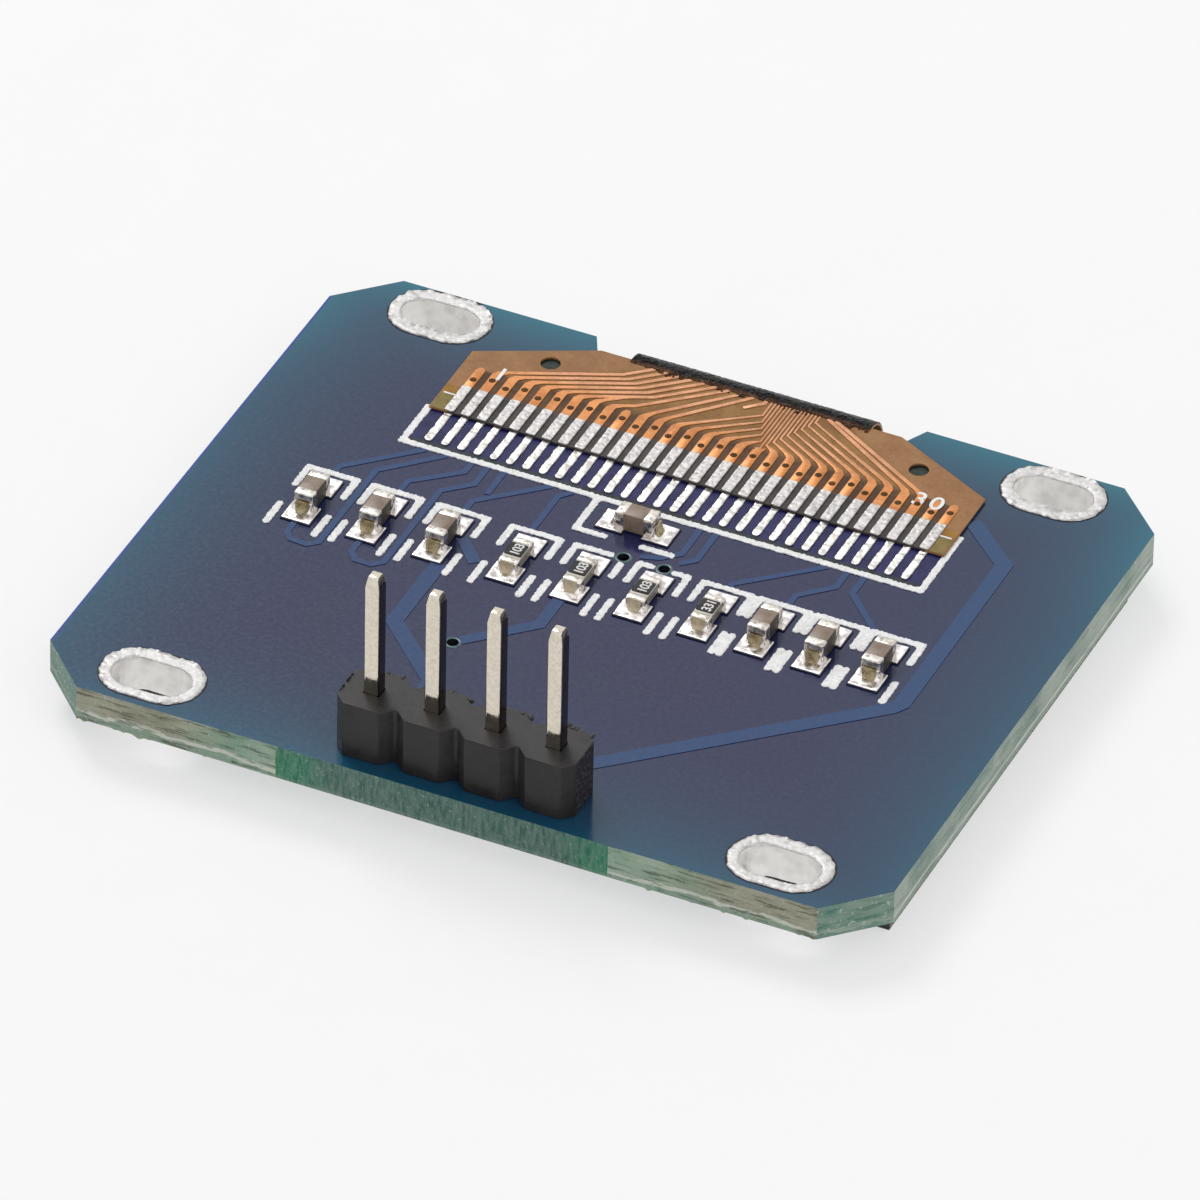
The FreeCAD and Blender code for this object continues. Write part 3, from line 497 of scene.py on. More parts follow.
# Cut edges of the laminate: streaks of resin and glass, cracks and a pale ragged line. The tones change
# towards the middle of the board, between the two distances of "fade"
cutLook = {
    "along": 420, "across": 4200, "fade": (12.5, 8.0), "resin": (0.12, 0.21, 0.17),
    "resinMiddle": (0.06, 0.19, 0.13), "glass": (0.33, 0.39, 0.34), "glassMiddle": (0.27, 0.34, 0.27),
    "streaks": 0.5, "fibre": (0.46, 0.50, 0.44), "cracks": 0.35, "crack": (0.05, 0.11, 0.09), "flecks": 0.3,
    "fleck": (0.72, 0.76, 0.68), "line": 1.5, "lineHalf": 0.1, "lineStrength": 0.8, "ragged": 0.1,
    "lineTone": (0.60, 0.63, 0.55), "below": 0.4, "belowTone": (0.24, 0.36, 0.28), "relief": 0.04,
}
laminates = {
    "laminateCut": cutLook,
    "laminateMilled": {
        **cutLook, "along": 6000, "across": 1200, "fade": (6.2, 4.6), "resin": (0.006, 0.15, 0.08),
        "resinMiddle": (0.03, 0.11, 0.09), "glass": (0.01, 0.20, 0.10), "glassMiddle": (0.06, 0.14, 0.115),
        "fibre": (0.20, 0.28, 0.235), "cracks": 0.45, "crack": (0.012, 0.07, 0.058), "flecks": 0.2,
        "line": 1.3, "lineStrength": 0.1, "below": 0.1,
    },
    "laminateScored": {
        **cutLook, "along": 560, "across": 5600, "resin": (0.19, 0.195, 0.125),
        "resinMiddle": (0.09, 0.26, 0.17), "glass": (0.31, 0.31, 0.23), "glassMiddle": (0.28, 0.42, 0.32),
        "fibre": (0.44, 0.45, 0.36), "cracks": 0.75, "crack": (0.085, 0.08, 0.05), "line": 1.6,
        "lineHalf": 0.11, "lineStrength": 0.9, "ragged": 0.4, "below": 0.7,
    },
    "laminateChamfer": {
        **cutLook, "resin": (0.02, 0.15, 0.11), "resinMiddle": (0.02, 0.15, 0.11),
        "glass": (0.15, 0.25, 0.19), "fibre": (0.33, 0.39, 0.33), "lineStrength": 0.25, "ragged": 0.4,
        "flecks": 0.5, "below": 0.1,
    },
}


def buildLaminate(name, look):
    shader, place = newMaterial(name, IOR=1.5, Specular_IOR_Level=0.3)
    plies = placeGroup(pliesGroup, place, Along=look["along"], Across=look["across"])
    cloud, fibre = plies["Cloud"], plies["Fibre"]
    x, _, z = axes(place)
    towards = remapMm(calc("ABSOLUTE", x), *look["fade"])
    tone = blendColour(cloud, blendColour(towards, look["resin"], look["resinMiddle"]),
                       blendColour(towards, look["glass"], look["glassMiddle"]))
    tone = blendColour(times(fibre, look["streaks"]), tone, look["fibre"])
    wander = plus(times(cloud, 0.6), times(fibre, 0.4))
    height = plus(z, times(minus(wander, 0.5), look["ragged"] * mm))
    middle, half = look["line"], look["lineHalf"]
    line = times(remapMm(height, middle - half, middle - 0.6 * half),
                 remapMm(height, middle + half, middle + 0.6 * half))
    tone = blendColour(times(line, look["lineStrength"]), tone, look["lineTone"])
    below = remapMm(height, middle - 0.6 * half, middle - 1.2 * half, 0.0, look["below"])
    tone = blendColour(below, tone, look["belowTone"])
    tone = blendColour(remap(fibre, 0.35, 0.0, 0.0, look["cracks"]), tone, look["crack"])
    flecks = noiseOn(place, 5200, 2.0, 0.8)
    tone = blendColour(remap(flecks, 0.58, 0.7, 0.0, look["flecks"]), tone, look["fleck"])
    paint(shader, tone, fibre, (0.4, 0.65), plus(plies["Height"], times(flecks, 0.3)),
          look["relief"])


# Metals: dark, light and freckle tones, size of the mottle, gloss, relief and how metallic
tinFinishes = {
    "padTin": ((0.54, 0.50, 0.49), (0.87, 0.84, 0.83), (0.98, 0.97, 0.96), 3200, (0.14, 0.34), 0.02, 1.0),
    "landTin": ((0.58, 0.56, 0.525), (0.78, 0.76, 0.72), (0.88, 0.87, 0.84), 3400, (0.26, 0.42), 0.012, 1.0),
    "fingerTin": ((0.32, 0.305, 0.30), (0.50, 0.485, 0.47), (0.72, 0.70, 0.68), 5200, (0.4, 0.55), 0.01, 0.9),
    "slotRimTin": ((0.40, 0.39, 0.38), (0.58, 0.57, 0.56), (0.78, 0.77, 0.76), 3600, (0.4, 0.6), 0.02, 0.6),
    # Near-white tin for the slot sleeves, brighter than the rims: painted light for the light that reaches
    # the sleeves through the slots
    "slotSleeveTin": ((0.82, 0.80, 0.77), (1.0, 0.985, 0.965), (1.0, 1.0, 1.0), 1900, (0.4, 0.6), 0.03, 0.8),
    "chipEndTin": ((0.40, 0.35, 0.30), (0.76, 0.72, 0.66), (0.92, 0.89, 0.83), 5200, (0.14, 0.3), 0.012, 1.0),
    "pinTin": ((0.60, 0.55, 0.455), (0.72, 0.665, 0.565), (0.84, 0.80, 0.71), 7000, (0.06, 0.13), 0.002, 1.0),
    # Darker copy of the pin tin for the pins' side faces: painted shade
    "pinSideTin": ((0.07, 0.06, 0.06), (0.12, 0.105, 0.10), (0.26, 0.24, 0.23), 7000, (0.1, 0.2), 0.002, 1.0),
}

# Plastics, ceramics and inks: dark and light tone, size of the grain, gloss, relief, specular level, metallic
grainFinishes = {
    "blackPlastic": ((0.013, 0.011, 0.011), (0.026, 0.023, 0.023), 900, (0.34, 0.5), 0.012, 0.3),
    # The side finishes are darker copies of the chip ceramics, for the chips' long sides: painted shade
    "capacitorSide": ((0.05, 0.042, 0.03), (0.09, 0.075, 0.055), 1600, (0.4, 0.55), 0.01, 0.3),
    "resistorSide": ((0.20, 0.18, 0.145), (0.30, 0.275, 0.23), 2200, (0.4, 0.55), 0.008),
    "capacitorCeramic": ((0.17, 0.115, 0.08), (0.27, 0.20, 0.15), 1600, (0.3, 0.45), 0.01),
    "resistorCeramic": ((0.52, 0.48, 0.41), (0.70, 0.67, 0.60), 2200, (0.4, 0.55), 0.008),
    "blackGlaze": ((0.018, 0.017, 0.018), (0.042, 0.04, 0.041), 2600, (0.3, 0.45), 0.006, 0.15),
    # Drops on the fillets, coloured like the chip bodies: painted reflection
    "fluxGold": ((0.16, 0.105, 0.034), (0.54, 0.45, 0.25), 3600, (0.08, 0.2), 0.03),
    "fluxCream": ((0.44, 0.36, 0.23), (0.62, 0.53, 0.38), 3600, (0.15, 0.3), 0.02),
    "whiteInk": ((0.72, 0.72, 0.72), (0.92, 0.92, 0.92), 3600, (0.45, 0.6), 0.015),
    "digitInk": ((0.55, 0.55, 0.53), (0.80, 0.80, 0.78), 5200, (0.5, 0.65), 0.004),
    # Near black: the bare laminate of the mask's clearance, darkened into painted shade; on the via tubes it
    # is painted shade only
    "maskGap": ((0.006, 0.006, 0.012), (0.02, 0.02, 0.032), 2600, (0.4, 0.6), 0.01, 0.2),
    "tailDots": ((0.05, 0.02, 0.003), (0.11, 0.05, 0.01), 2600, (0.3, 0.45), 0.01, 0.08),
    "filmHoleShade": ((0.008, 0.016, 0.014), (0.03, 0.045, 0.035), 2600, (0.3, 0.45), 0.01, 0.2),
    "viaMask": ((0.02, 0.07, 0.08), (0.08, 0.16, 0.17), 2600, (0.15, 0.25), 0.006),
    "foamTape": ((0.62, 0.61, 0.58), (0.80, 0.79, 0.76), 2600, (0.7, 0.85), 0.03),
    "sealGrey": ((0.12, 0.12, 0.12), (0.24, 0.24, 0.23), 1600, (0.3, 0.5), 0.01),
    "driverSilicon": ((0.05, 0.05, 0.06), (0.12, 0.12, 0.14), 1600, (0.08, 0.16), 0.002, 0.5, 0.4),
    "polariserFilm": ((0.006, 0.006, 0.007), (0.013, 0.013, 0.015), 300, (0.12, 0.2), 0.001),
}


def buildTin(name, dark, light, freckle, size, gloss, relief, metallic):
    shader, place = newMaterial(name, Metallic=metallic)
    mottle = placeGroup(mottleGroup, place, Size=size)
    tone = blendColour(mottle["Cells"], dark, light)
    tone = blendColour(times(mottle["Freckles"], 0.6), tone, freckle)
    paint(shader, tone, mottle["Cells"], gloss, mottle["Height"], relief)


def buildPlain(name, dark, light, size, gloss, relief, specular=0.5, metallic=0.0):
    shader, place = newMaterial(name, Specular_IOR_Level=specular, Metallic=metallic)
    grain = placeGroup(grainGroup, place, Size=size)
    paintGrain(shader, blendColour(grain["Tone"], dark, light), grain, gloss, relief)


# Two tones near a line along X and two beyond it: both pairs, the line's place, gloss, specular level
bandedFinishes = {
    "landField": (((0.012, 0.018, 0.022), (0.03, 0.04, 0.042)), ((0.01, 0.01, 0.064), (0.021, 0.021, 0.105)),
                  boxMm("tail_lands")[0].y, (0.3, 0.45), 0.2),
    "coatBlack": (((0.004, 0.003, 0.002), (0.15, 0.06, 0.024)),
                  ((0.001, 0.001, 0.001), (0.008, 0.007, 0.006)),
                  boxMm("bend_coating")[0].y + 0.2, (0.14, 0.3), 0.1),
    "goldPatch": (((0.17, 0.125, 0.03), (0.25, 0.185, 0.055)), ((0.27, 0.125, 0.012), (0.36, 0.185, 0.024)),
                  boxMm("tail_fingers")[0].y + 1.03, (0.25, 0.4), 0.2),
}


def buildBanded(name, nearTones, farTones, border, gloss, specular):
    shader, place = newMaterial(name, Specular_IOR_Level=specular)
    grain = placeGroup(grainGroup, place, Size=1800)
    ragged = times(minus(grain["Height"], 0.5), 0.2 * mm)
    depth = plus(axes(place)[1], ragged)
    beyond = remapMm(depth, border - 0.05, border + 0.05)
    tone = blendColour(beyond, blendColour(grain["Tone"], *nearTones),
                       blendColour(grain["Tone"], *farTones))
    paintGrain(shader, tone, grain, gloss, 0.01)


# Brown film: grey between the fingers, dark brown between the windows, a painted shade of the windows' edges,
# red-brown between the lines, golden outside their fan
filmLook = {
    "rowHalf": 10.25, "rowEnd": 10.35, "fingerEnd": 9.14, "fanHalf": 9.15, "fanSlope": 1.6,
    "bare": ((0.275, 0.13, 0.05), (0.35, 0.18, 0.075)), "lines": ((0.22, 0.105, 0.03), (0.32, 0.165, 0.052)),
    # Dark brown between the windows: painted shade
    "tabs": ((0.06, 0.026, 0.009), (0.115, 0.054, 0.02)),
    "grey": ((0.034, 0.028, 0.03), (0.068, 0.058, 0.055)),
}


def buildFilm():
    shader, place = newMaterial("brownFilm", IOR=1.5, Specular_IOR_Level=0.18)
    grain = placeGroup(grainGroup, place, Size=900)
    x, depth, _ = axes(place)
    rowEnd, fingerEnd = filmLook["rowEnd"], filmLook["fingerEnd"]
    run = calc("MAXIMUM", minus(depth, rowEnd * mm), 0.0)
    half = minus(filmLook["fanHalf"] * mm, times(run, filmLook["fanSlope"]))
    wider = (filmLook["rowHalf"] - filmLook["fanHalf"]) * mm
    half = plus(half, remapMm(depth, rowEnd, rowEnd + 0.15, wider, 0.0))
    inFan = remapMm(minus(half, calc("ABSOLUTE", x)), -0.06, 0.1)
    bare, lines, tabs, grey = (blendColour(grain["Tone"], *filmLook[zone])
                               for zone in ("bare", "lines", "tabs", "grey"))
    beyond = remapMm(depth, fingerEnd - 0.08, fingerEnd + 0.1)
    farther = remapMm(depth, rowEnd - 0.1, rowEnd + 0.5)
    covered = blendColour(beyond, grey, blendColour(farther, tabs, lines))
    paintGrain(shader, blendColour(inFan, bare, covered), grain, (0.28, 0.4), 0.008)


# Copper under the film's cover: bright orange at the windows and redder along the lines
copperLook = {
    "window": ((0.50, 0.17, 0.035), (0.68, 0.27, 0.075)),
    "line": ((0.50, 0.22, 0.10), (0.68, 0.33, 0.17)),
    "change": (10.2, 11.6),
}


def buildCopper():
    shader, place = newMaterial("tailCopper", IOR=1.5, Metallic=0.3)
    grain = placeGroup(grainGroup, place, Size=1500)
    along = remapMm(axes(place)[1], *copperLook["change"])
    tone = blendColour(along, blendColour(grain["Tone"], *copperLook["window"]),
                       blendColour(grain["Tone"], *copperLook["line"]))
    paintGrain(shader, tone, grain, (0.3, 0.42), 0.01)


# Clear glass of the display, with a faint smear in its gloss
def buildGlass():
    shader, place = newMaterial("displayGlass", IOR=1.5, Transmission_Weight=1.0)
    grain = placeGroup(grainGroup, place, Size=120)
    paintGrain(shader, blendColour(grain["Tone"], (0.80, 0.86, 0.84), (0.88, 0.92, 0.90)), grain,
               (0.01, 0.05), 0)


# Dark emitting layer with the rows and columns of its pixels
def buildPixels():
    shader, place = newMaterial("pixelLayer", IOR=1.5)
    pitch = 0.23
    columns, rows = (addNode("TexWave", {"Vector": place, "Scale": 0.314 / (pitch * mm)},
                             bands_direction=direction).outputs["Fac"] for direction in ("X", "Y"))
    grid = times(columns, rows)
    paint(shader, blendColour(grid, (0.006, 0.006, 0.008), (0.03, 0.03, 0.04)), grid, (0.3, 0.15),
          grid, 0.004)


for name, tones in maskTones.items():
    buildMaskFinish(name, *tones)
for name, look in laminates.items():
    buildLaminate(name, look)
for build, finishes in ((buildTin, tinFinishes), (buildPlain, grainFinishes), (buildBanded, bandedFinishes)):
    for name, values in finishes.items():
        build(name, *values)
buildFilm()
buildCopper()
buildGlass()
buildPixels()
print("materials made:", len(bpy.data.materials))

# Board: rounded edges, and four kinds of cut edge
boardLook = {
    "rounding": 0.03, "corner": 2.2, "tabLeft": -7.05, "tabRight": 6.85, "breakDepth": 0.12,
    "breakNoise": 0.35, "breakLower": 0.4, "breakThick": 0.05,
}


def edgeFinish(face):
    if abs(face.normal.z) > 0.4:
        return None
    if face.center.y < (nearEdge + 0.05) * mm and face.normal.y < -0.7:
        inTab = boardLook["tabLeft"] * mm < face.center.x < boardLook["tabRight"] * mm
        return "laminateMilled" if inTab else "laminateScored"
    slanting = min(abs(face.normal.x), abs(face.normal.y)) > 0.3
    return "laminateChamfer" if slanting and face.center.y < 0 else "laminateCut"


def makeBoard():
    board = mergedCopy("circuit_board")
    roundEdges(board, boardLook["rounding"])
    for cutX in (boardLook["tabLeft"], boardLook["tabRight"]):
        editAll(board)
        bpy.ops.mesh.bisect(plane_co=(cutX, 0, 0), plane_no=(1, 0, 0))
        leaveEdit()
    finishPiece(board, "boardPlate", "blueMask", ["circuit_board"], smooth=25)
    for finish in laminates:
        paintFaces(board, finish, lambda face: edgeFinish(face) == finish)


# Where the board was snapped from its panel, the near edge is torn along its fibres
def makeBrokenEdges():
    thick = boardHigh.z - boardLow.z
    spans = ((boardLow.x + boardLook["corner"], boardLook["tabLeft"]),
             (boardLook["tabRight"], boardHigh.x - boardLook["corner"]))
    for index, (left, right) in enumerate(spans):
        strip = addGrid(220, 18, ((left + right) / 2, nearEdge + 0.03, boardLow.z + thick / 2),
                        (right - left, thick - 0.06, 1), (math.pi / 2, 0, 0))
        lowest = [vertex.index for vertex in strip.data.vertices if vertex.co.z < boardLow.z + 0.08]
        strip.vertex_groups.new(name="lowerEdge").add(lowest, 1.0, "REPLACE")
        pushByNoise(strip, 0.5, boardLook["breakLower"], direction="Z", group="lowerEdge")
        strip.vertex_groups.clear()
        pushByNoise(strip, boardLook["breakNoise"], -boardLook["breakDepth"], 0.25, direction="Y", depth=3)
        applyModifier(strip, "SOLIDIFY", thickness=boardLook["breakThick"], offset=-1)
        finishPiece(strip, f"tornEdge{index + 1}", "laminateScored", smooth=60)


makeBoard()
makeBrokenEdges()
print("board done")

# Tinned slots: sleeve, a rim on both faces with a scalloped edge, and the dark gap of the mask round it,
# partly the mask's clearance and partly painted shade. The sleeve's tin is near white, a painted light
slotLook = {
    "rimWidth": 0.44, "rimRise": 0.05, "rimGrowth": 0.04, "rimUnder": 0.11, "rimSlope": 0.03, "lip": 0.15,
    "wall": 0.06, "around": 168, "scallop": 0.3, "scallopDepth": 0.16, "dentSize": 0.22, "dents": 0.035,
    "gap": 0.09, "gapHeight": 0.012, "gapInside": 0.1,
}


def makeSlots():
    width, slope, wall = slotLook["rimWidth"], slotLook["rimSlope"], slotLook["wall"]
    top, under = boardTop + slotLook["rimRise"], boardLow.z - slotLook["rimUnder"]
    for nodeName in sorted(name for name in nodes if name.startswith("slot_lining")):
        side = "".join(word.title() for word in nodeName.split("_")[2:])
        low, high = boxMm(nodeName)
        middle = (low + high) / 2
        half = (high.y - low.y) / 2
        straight = (high.x - low.x) - 2 * half
        rim, bore = half + slotLook["rimGrowth"], half - width

        def fromMiddle(point):
            return math.hypot(max(abs(point.x - middle.x) - straight / 2, 0), point.y - middle.y)

        profile = [(rim, boardTop - 0.02), (rim, boardTop + 0.015), (rim - slope, top)]
        profile += [(bore + width * share, top + 0.008) for share in (0.7, 0.45, 0.2)]
        profile += [(bore + slope, top), (bore, boardTop), (bore, boardTop - 0.07)]
        profile += [(bore, boardTop - share * (boardTop - boardLow.z)) for share in (0.25, 0.5, 0.75, 1.0)]
        profile += [(bore + 0.02, under), (rim - slope, under), (rim, boardLow.z + 0.02)]
        profile += [(bore + wall, boardLow.z + 0.03), (bore + wall, boardTop - 0.03)]
        lining = ovalRing(middle, straight, profile, slotLook["around"])
        # The rim's inner edge overhangs the sleeve, at the near slots only on their far side
        sides, anchor = (1, middle.y - bore) if middle.y < 0 else (2, middle.y)
        resizeVertices(lining, lambda point: point.z > boardTop - 0.01 and bore + 0.05 > fromMiddle(point),
                       (1, 1 - sides * slotLook["lip"] / (2 * bore), 1), (middle.x, anchor, boardTop))
        rimEdge = [vertex.index for vertex in lining.data.vertices
                   if fromMiddle(vertex.co) > rim - 0.05 and vertex.co.z > boardTop]
        lining.vertex_groups.new(name="rimEdge").add(rimEdge, 1.0, "REPLACE")
        pushByNoise(lining, slotLook["scallop"], slotLook["scallopDepth"], middle=0.4, group="rimEdge")
        pushByNoise(lining, slotLook["dentSize"], slotLook["dents"])
        lining.vertex_groups.clear()
        # The sleeve takes the near-white tin: painted light
        finishPiece(lining, "slotLining" + side, "slotSleeveTin", [nodeName], smooth=60)
        paintFaces(lining, "slotRimTin",
                   lambda face: abs(face.normal.z) > 0.6 or face.center.z > (boardTop + 0.005) * mm)
        # A near-black ring round each rim: the mask's clearance and painted shade
        outer, inner = rim + slotLook["gap"], rim - slotLook["gapInside"]
        base, crest = boardTop - 0.01, boardTop + slotLook["gapHeight"]
        profile = [(outer, base), (outer - 0.02, crest), (inner, crest), (inner, base)]
        finishPiece(ovalRing(middle, straight, profile, 64), "slotGap" + side, "maskGap", smooth=30)


# Vias: tubes with a near-black finish, a painted shade of their bores, each with a low ring of masked copper
viaLook = {"places": [(-3.76, -5.8), (-0.14, 1.98), (1.59, 1.98)], "bore": 0.23, "ring": 0.36, "rise": 0.035}


def makeVias():
    # The via tubes take the near-black finish: painted shade
    finishPiece(mergedCopy("via_linings"), "viaLinings", "maskGap", ["via_linings"], smooth=40)
    bore, ring, top, base = viaLook["bore"], viaLook["ring"], boardTop + viaLook["rise"], boardTop - 0.02
    profile = [(ring, base), (ring - 0.02, top - 0.01), (ring - 0.05, top), (bore + 0.03, top),
               (bore + 0.005, top - 0.015), (bore + 0.005, base)]
    rings = [ovalRing(Vector((x, y, 0)), 0, profile, 36) for x, y in viaLook["places"]]
    finishPiece(joinPieces(rings), "viaRings", "viaMask", smooth=50)


makeSlots()
makeVias()
print("slots and vias done")

# Header: moulded strip, pins, and the solder on the display side
headerLook = {
    "rounding": 0.045, "pinRounding": 0.08, "jointRounding": 0.06, "pitch": 2.54, "blocks": 4,
    "farNubs": 24, "endNubs": 60, "nubSizes": (0.07, 0.16), "nubNoise": (0.11, 0.06), "tipGrowth": 1.3,
}


# Torn nubs of plastic, where the strip was broken from its row
def makeNubs():
    low, high = boxMm("header_housing")
    pitch, farNubs = headerLook["pitch"], headerLook["farNubs"]
    bpy.ops.mesh.primitive_ico_sphere_add(subdivisions=2, radius=1)
    pattern = bpy.context.object
    nubs = []
    for index in range(farNubs):
        block = index * headerLook["blocks"] // farNubs
        along = random.uniform(0.35, pitch - 0.35)
        inset = max(0.5 - along, along - pitch + 0.5, 0.0)
        size = random.uniform(*headerLook["nubSizes"])
        place = (low.x + block * pitch + along, high.y - 0.04 - inset, high.z - 0.03)
        nubs.append(copyPiece(pattern, place, random.uniform(0, 3), (size * 1.5, size * 0.8, size * 0.6)))
    for index in range(headerLook["endNubs"]):
        size = random.uniform(*headerLook["nubSizes"]) * 0.7
        y = random.uniform(low.y + 0.55, high.y - 0.55)
        place = (high.x - 0.01, y, random.uniform(low.z + 0.1, high.z - 0.1))
        if index % 6 == 0:
            place = (low.x + 0.02, y, high.z - 0.04)
        nubs.append(copyPiece(pattern, place, 0.0, (size * 0.5, size, size * 1.4)))
    bpy.data.objects.remove(pattern)
    for nub in nubs:
        pushByNoise(nub, *headerLook["nubNoise"])
    return nubs


def makeHeader():
    housing = mergedCopy("header_housing")
    roundEdges(housing, headerLook["rounding"], angle=30)
    finishPiece(joinPieces([housing] + makeNubs()), "headerStrip", "blackPlastic",
                ["header_housing"], smooth=40)
    growth = headerLook["tipGrowth"]
    for index in range(1, headerLook["blocks"] + 1):
        pinName, jointName = f"header_pin_{index}", f"pin_solder_{index}"
        pin = mergedCopy(pinName)
        low, high = boxMm(pinName)
        resizeVertices(pin, lambda point: point.z > high.z - 0.01, (growth, growth, 1), (low + high) / 2)
        roundEdges(pin, headerLook["pinRounding"], segments=3, angle=20)
        finishPiece(pin, f"headerPin{index}", "pinTin", [pinName], smooth=30)
        # The pins' faces along X take the darker pin tin: painted shade
        paintFaces(pin, "pinSideTin", lambda face: abs(face.normal.x) > 0.6)
        joint = mergedCopy(jointName)
        roundEdges(joint, headerLook["jointRounding"], angle=30)
        finishPiece(joint, f"pinSolder{index}", "padTin", [jointName], smooth=40)


makeHeader()
print("header done")

# Chips, with their metal ends a little proud of the ceramic
chipLook = {
    "bodyRounding": 0.04, "endRounding": 0.07, "endProud": 0.02, "endGrowth": 0.11, "digitHeight": 0.38,
    "digitShift": 0.06, "glazeInset": (0.04, 0.05), "glazeLift": 0.01,
}
chips = [("capacitor", index) for index in range(1, 8)] + [("resistor", index) for index in range(1, 5)]
resistorMarks = ["103", "103", "103", "331"]


def chipAxis(low, high):
    return 0 if high.x - low.x > high.y - low.y else 1


def makeChip(kind, index):
    bodyName, endsName = f"{kind}_{index}_body", f"{kind}_{index}_ends"
    body = mergedCopy(bodyName)
    roundEdges(body, chipLook["bodyRounding"])
    finishPiece(body, f"{kind}Body{index}", f"{kind}Ceramic", [bodyName])
    # The body's faces along X take the darker side finish: painted shade
    paintFaces(body, f"{kind}Side", lambda face: abs(face.normal.x) > 0.5)
    ends = mergedCopy(endsName)
    if kind == "capacitor":
        low, high = boxMm(endsName)
        middle, axis = (low + high) / 2, chipAxis(low, high)
        inner = (high[axis] - low[axis]) / 2 - 0.1
        for side in (-1, 1):
            shift = [0, 0, 0]
            shift[axis] = -side * chipLook["endGrowth"]
            moveVertices(ends, lambda point: 0 < side * (point[axis] - middle[axis]) < inner, shift)
    fatten(ends, chipLook["endProud"])
    roundEdges(ends, chipLook["endRounding"], segments=3)
    finishPiece(ends, f"{kind}Ends{index}", "chipEndTin", [endsName])


def makeMark(index):
    nodeName = f"resistor_{index}_glaze"
    glaze = mergedCopy(nodeName)
    low, high = boxMm(nodeName)
    middle, lift = (low + high) / 2, chipLook["endProud"] + chipLook["glazeLift"]
    insetX, insetY = chipLook["glazeInset"]
    for side in (-1, 1):
        moveVertices(glaze, lambda point: side * (point.x - middle.x) > 0, (-side * insetX, 0, 0))
        moveVertices(glaze, lambda point: side * (point.y - middle.y) > 0, (0, -side * insetY, 0))
    moveVertices(glaze, lambda point: point.z > middle.z, (0, 0, lift))
    roundUprights(glaze, 0.05)
    finishPiece(glaze, f"resistorGlaze{index}", "blackGlaze", [nodeName])
    place = (middle.x + chipLook["digitShift"], middle.y, high.z + lift)
    mark = addText(resistorMarks[index - 1], place, math.pi / 2, chipLook["digitHeight"] / 0.7, 0.004, 0.88)
    finishPiece(mark, f"resistorMark{index}", "digitInk", smooth=0)


for kind, index in chips:
    makeChip(kind, index)
    if kind == "resistor":
        makeMark(index)
print("chips done")

# Solder of the chips: pads and hollow fillets grown together, with amber and cream drops on the fillets, a
# painted reflection of the chip bodies in the solder
solderLook = {
    "padRise": 0.05, "voxel": 0.034, "lumpSize": 0.5, "lumps": 0.04, "gap": 0.07, "gapDrop": 0.11,
    "filletRise": 0.42, "filletRun": 0.27, "filletHalf": 0.38, "fluxRun": 0.2, "fluxHalf": 0.28,
    "fluxOut": 0.075, "fluxLift": 0.06, "fluxBothEnds": 7,
}


# Hollow fillet against a wall at y = 0
def makeFillet(half, run, taper, thickness):
    fillet = addGrid(6, 1, (0, -half, run), (2 * half, 2 * half, 1))
    pickVertices(fillet, lambda point: point.y < -half)
    bpy.ops.mesh.delete(type="VERT")
    bpy.ops.mesh.select_all(action="SELECT")
    bpy.ops.mesh.spin(steps=8, angle=math.radians(88), center=(0, -run, run), axis=(1, 0, 0))
    bpy.ops.mesh.select_all(action="SELECT")
    bpy.ops.transform.resize(value=(1, 1, solderLook["filletRise"] / run), center_override=(0, 0, 0))
    leaveEdit()
    for share in (0.3, 0.6, 0.85):
        resizeVertices(fillet, lambda point: point.y < -share * run, (taper, 1, 1), (0, 0, 0))
    applyModifier(fillet, "SOLIDIFY", thickness=thickness, offset=0)
    editAll(fillet)
    bpy.ops.mesh.normals_make_consistent(inside=False)
    leaveEdit()
    return fillet


# A copy of the fillet at each end face of a chip
def atChipEnds(fillet, kind, index, ends, height):
    low, high = boxMm(f"{kind}_{index}_ends")
    middle = (low + high) / 2
    if chipAxis(low, high) == 0:
        places = ((low.x, middle.y, -math.pi / 2), (high.x, middle.y, math.pi / 2))
    else:
        places = ((middle.x, low.y, 0.0), (middle.x, high.y, math.pi))
    return [copyPiece(fillet, (x, y, height), turn) for x, y, turn in places[:ends]]


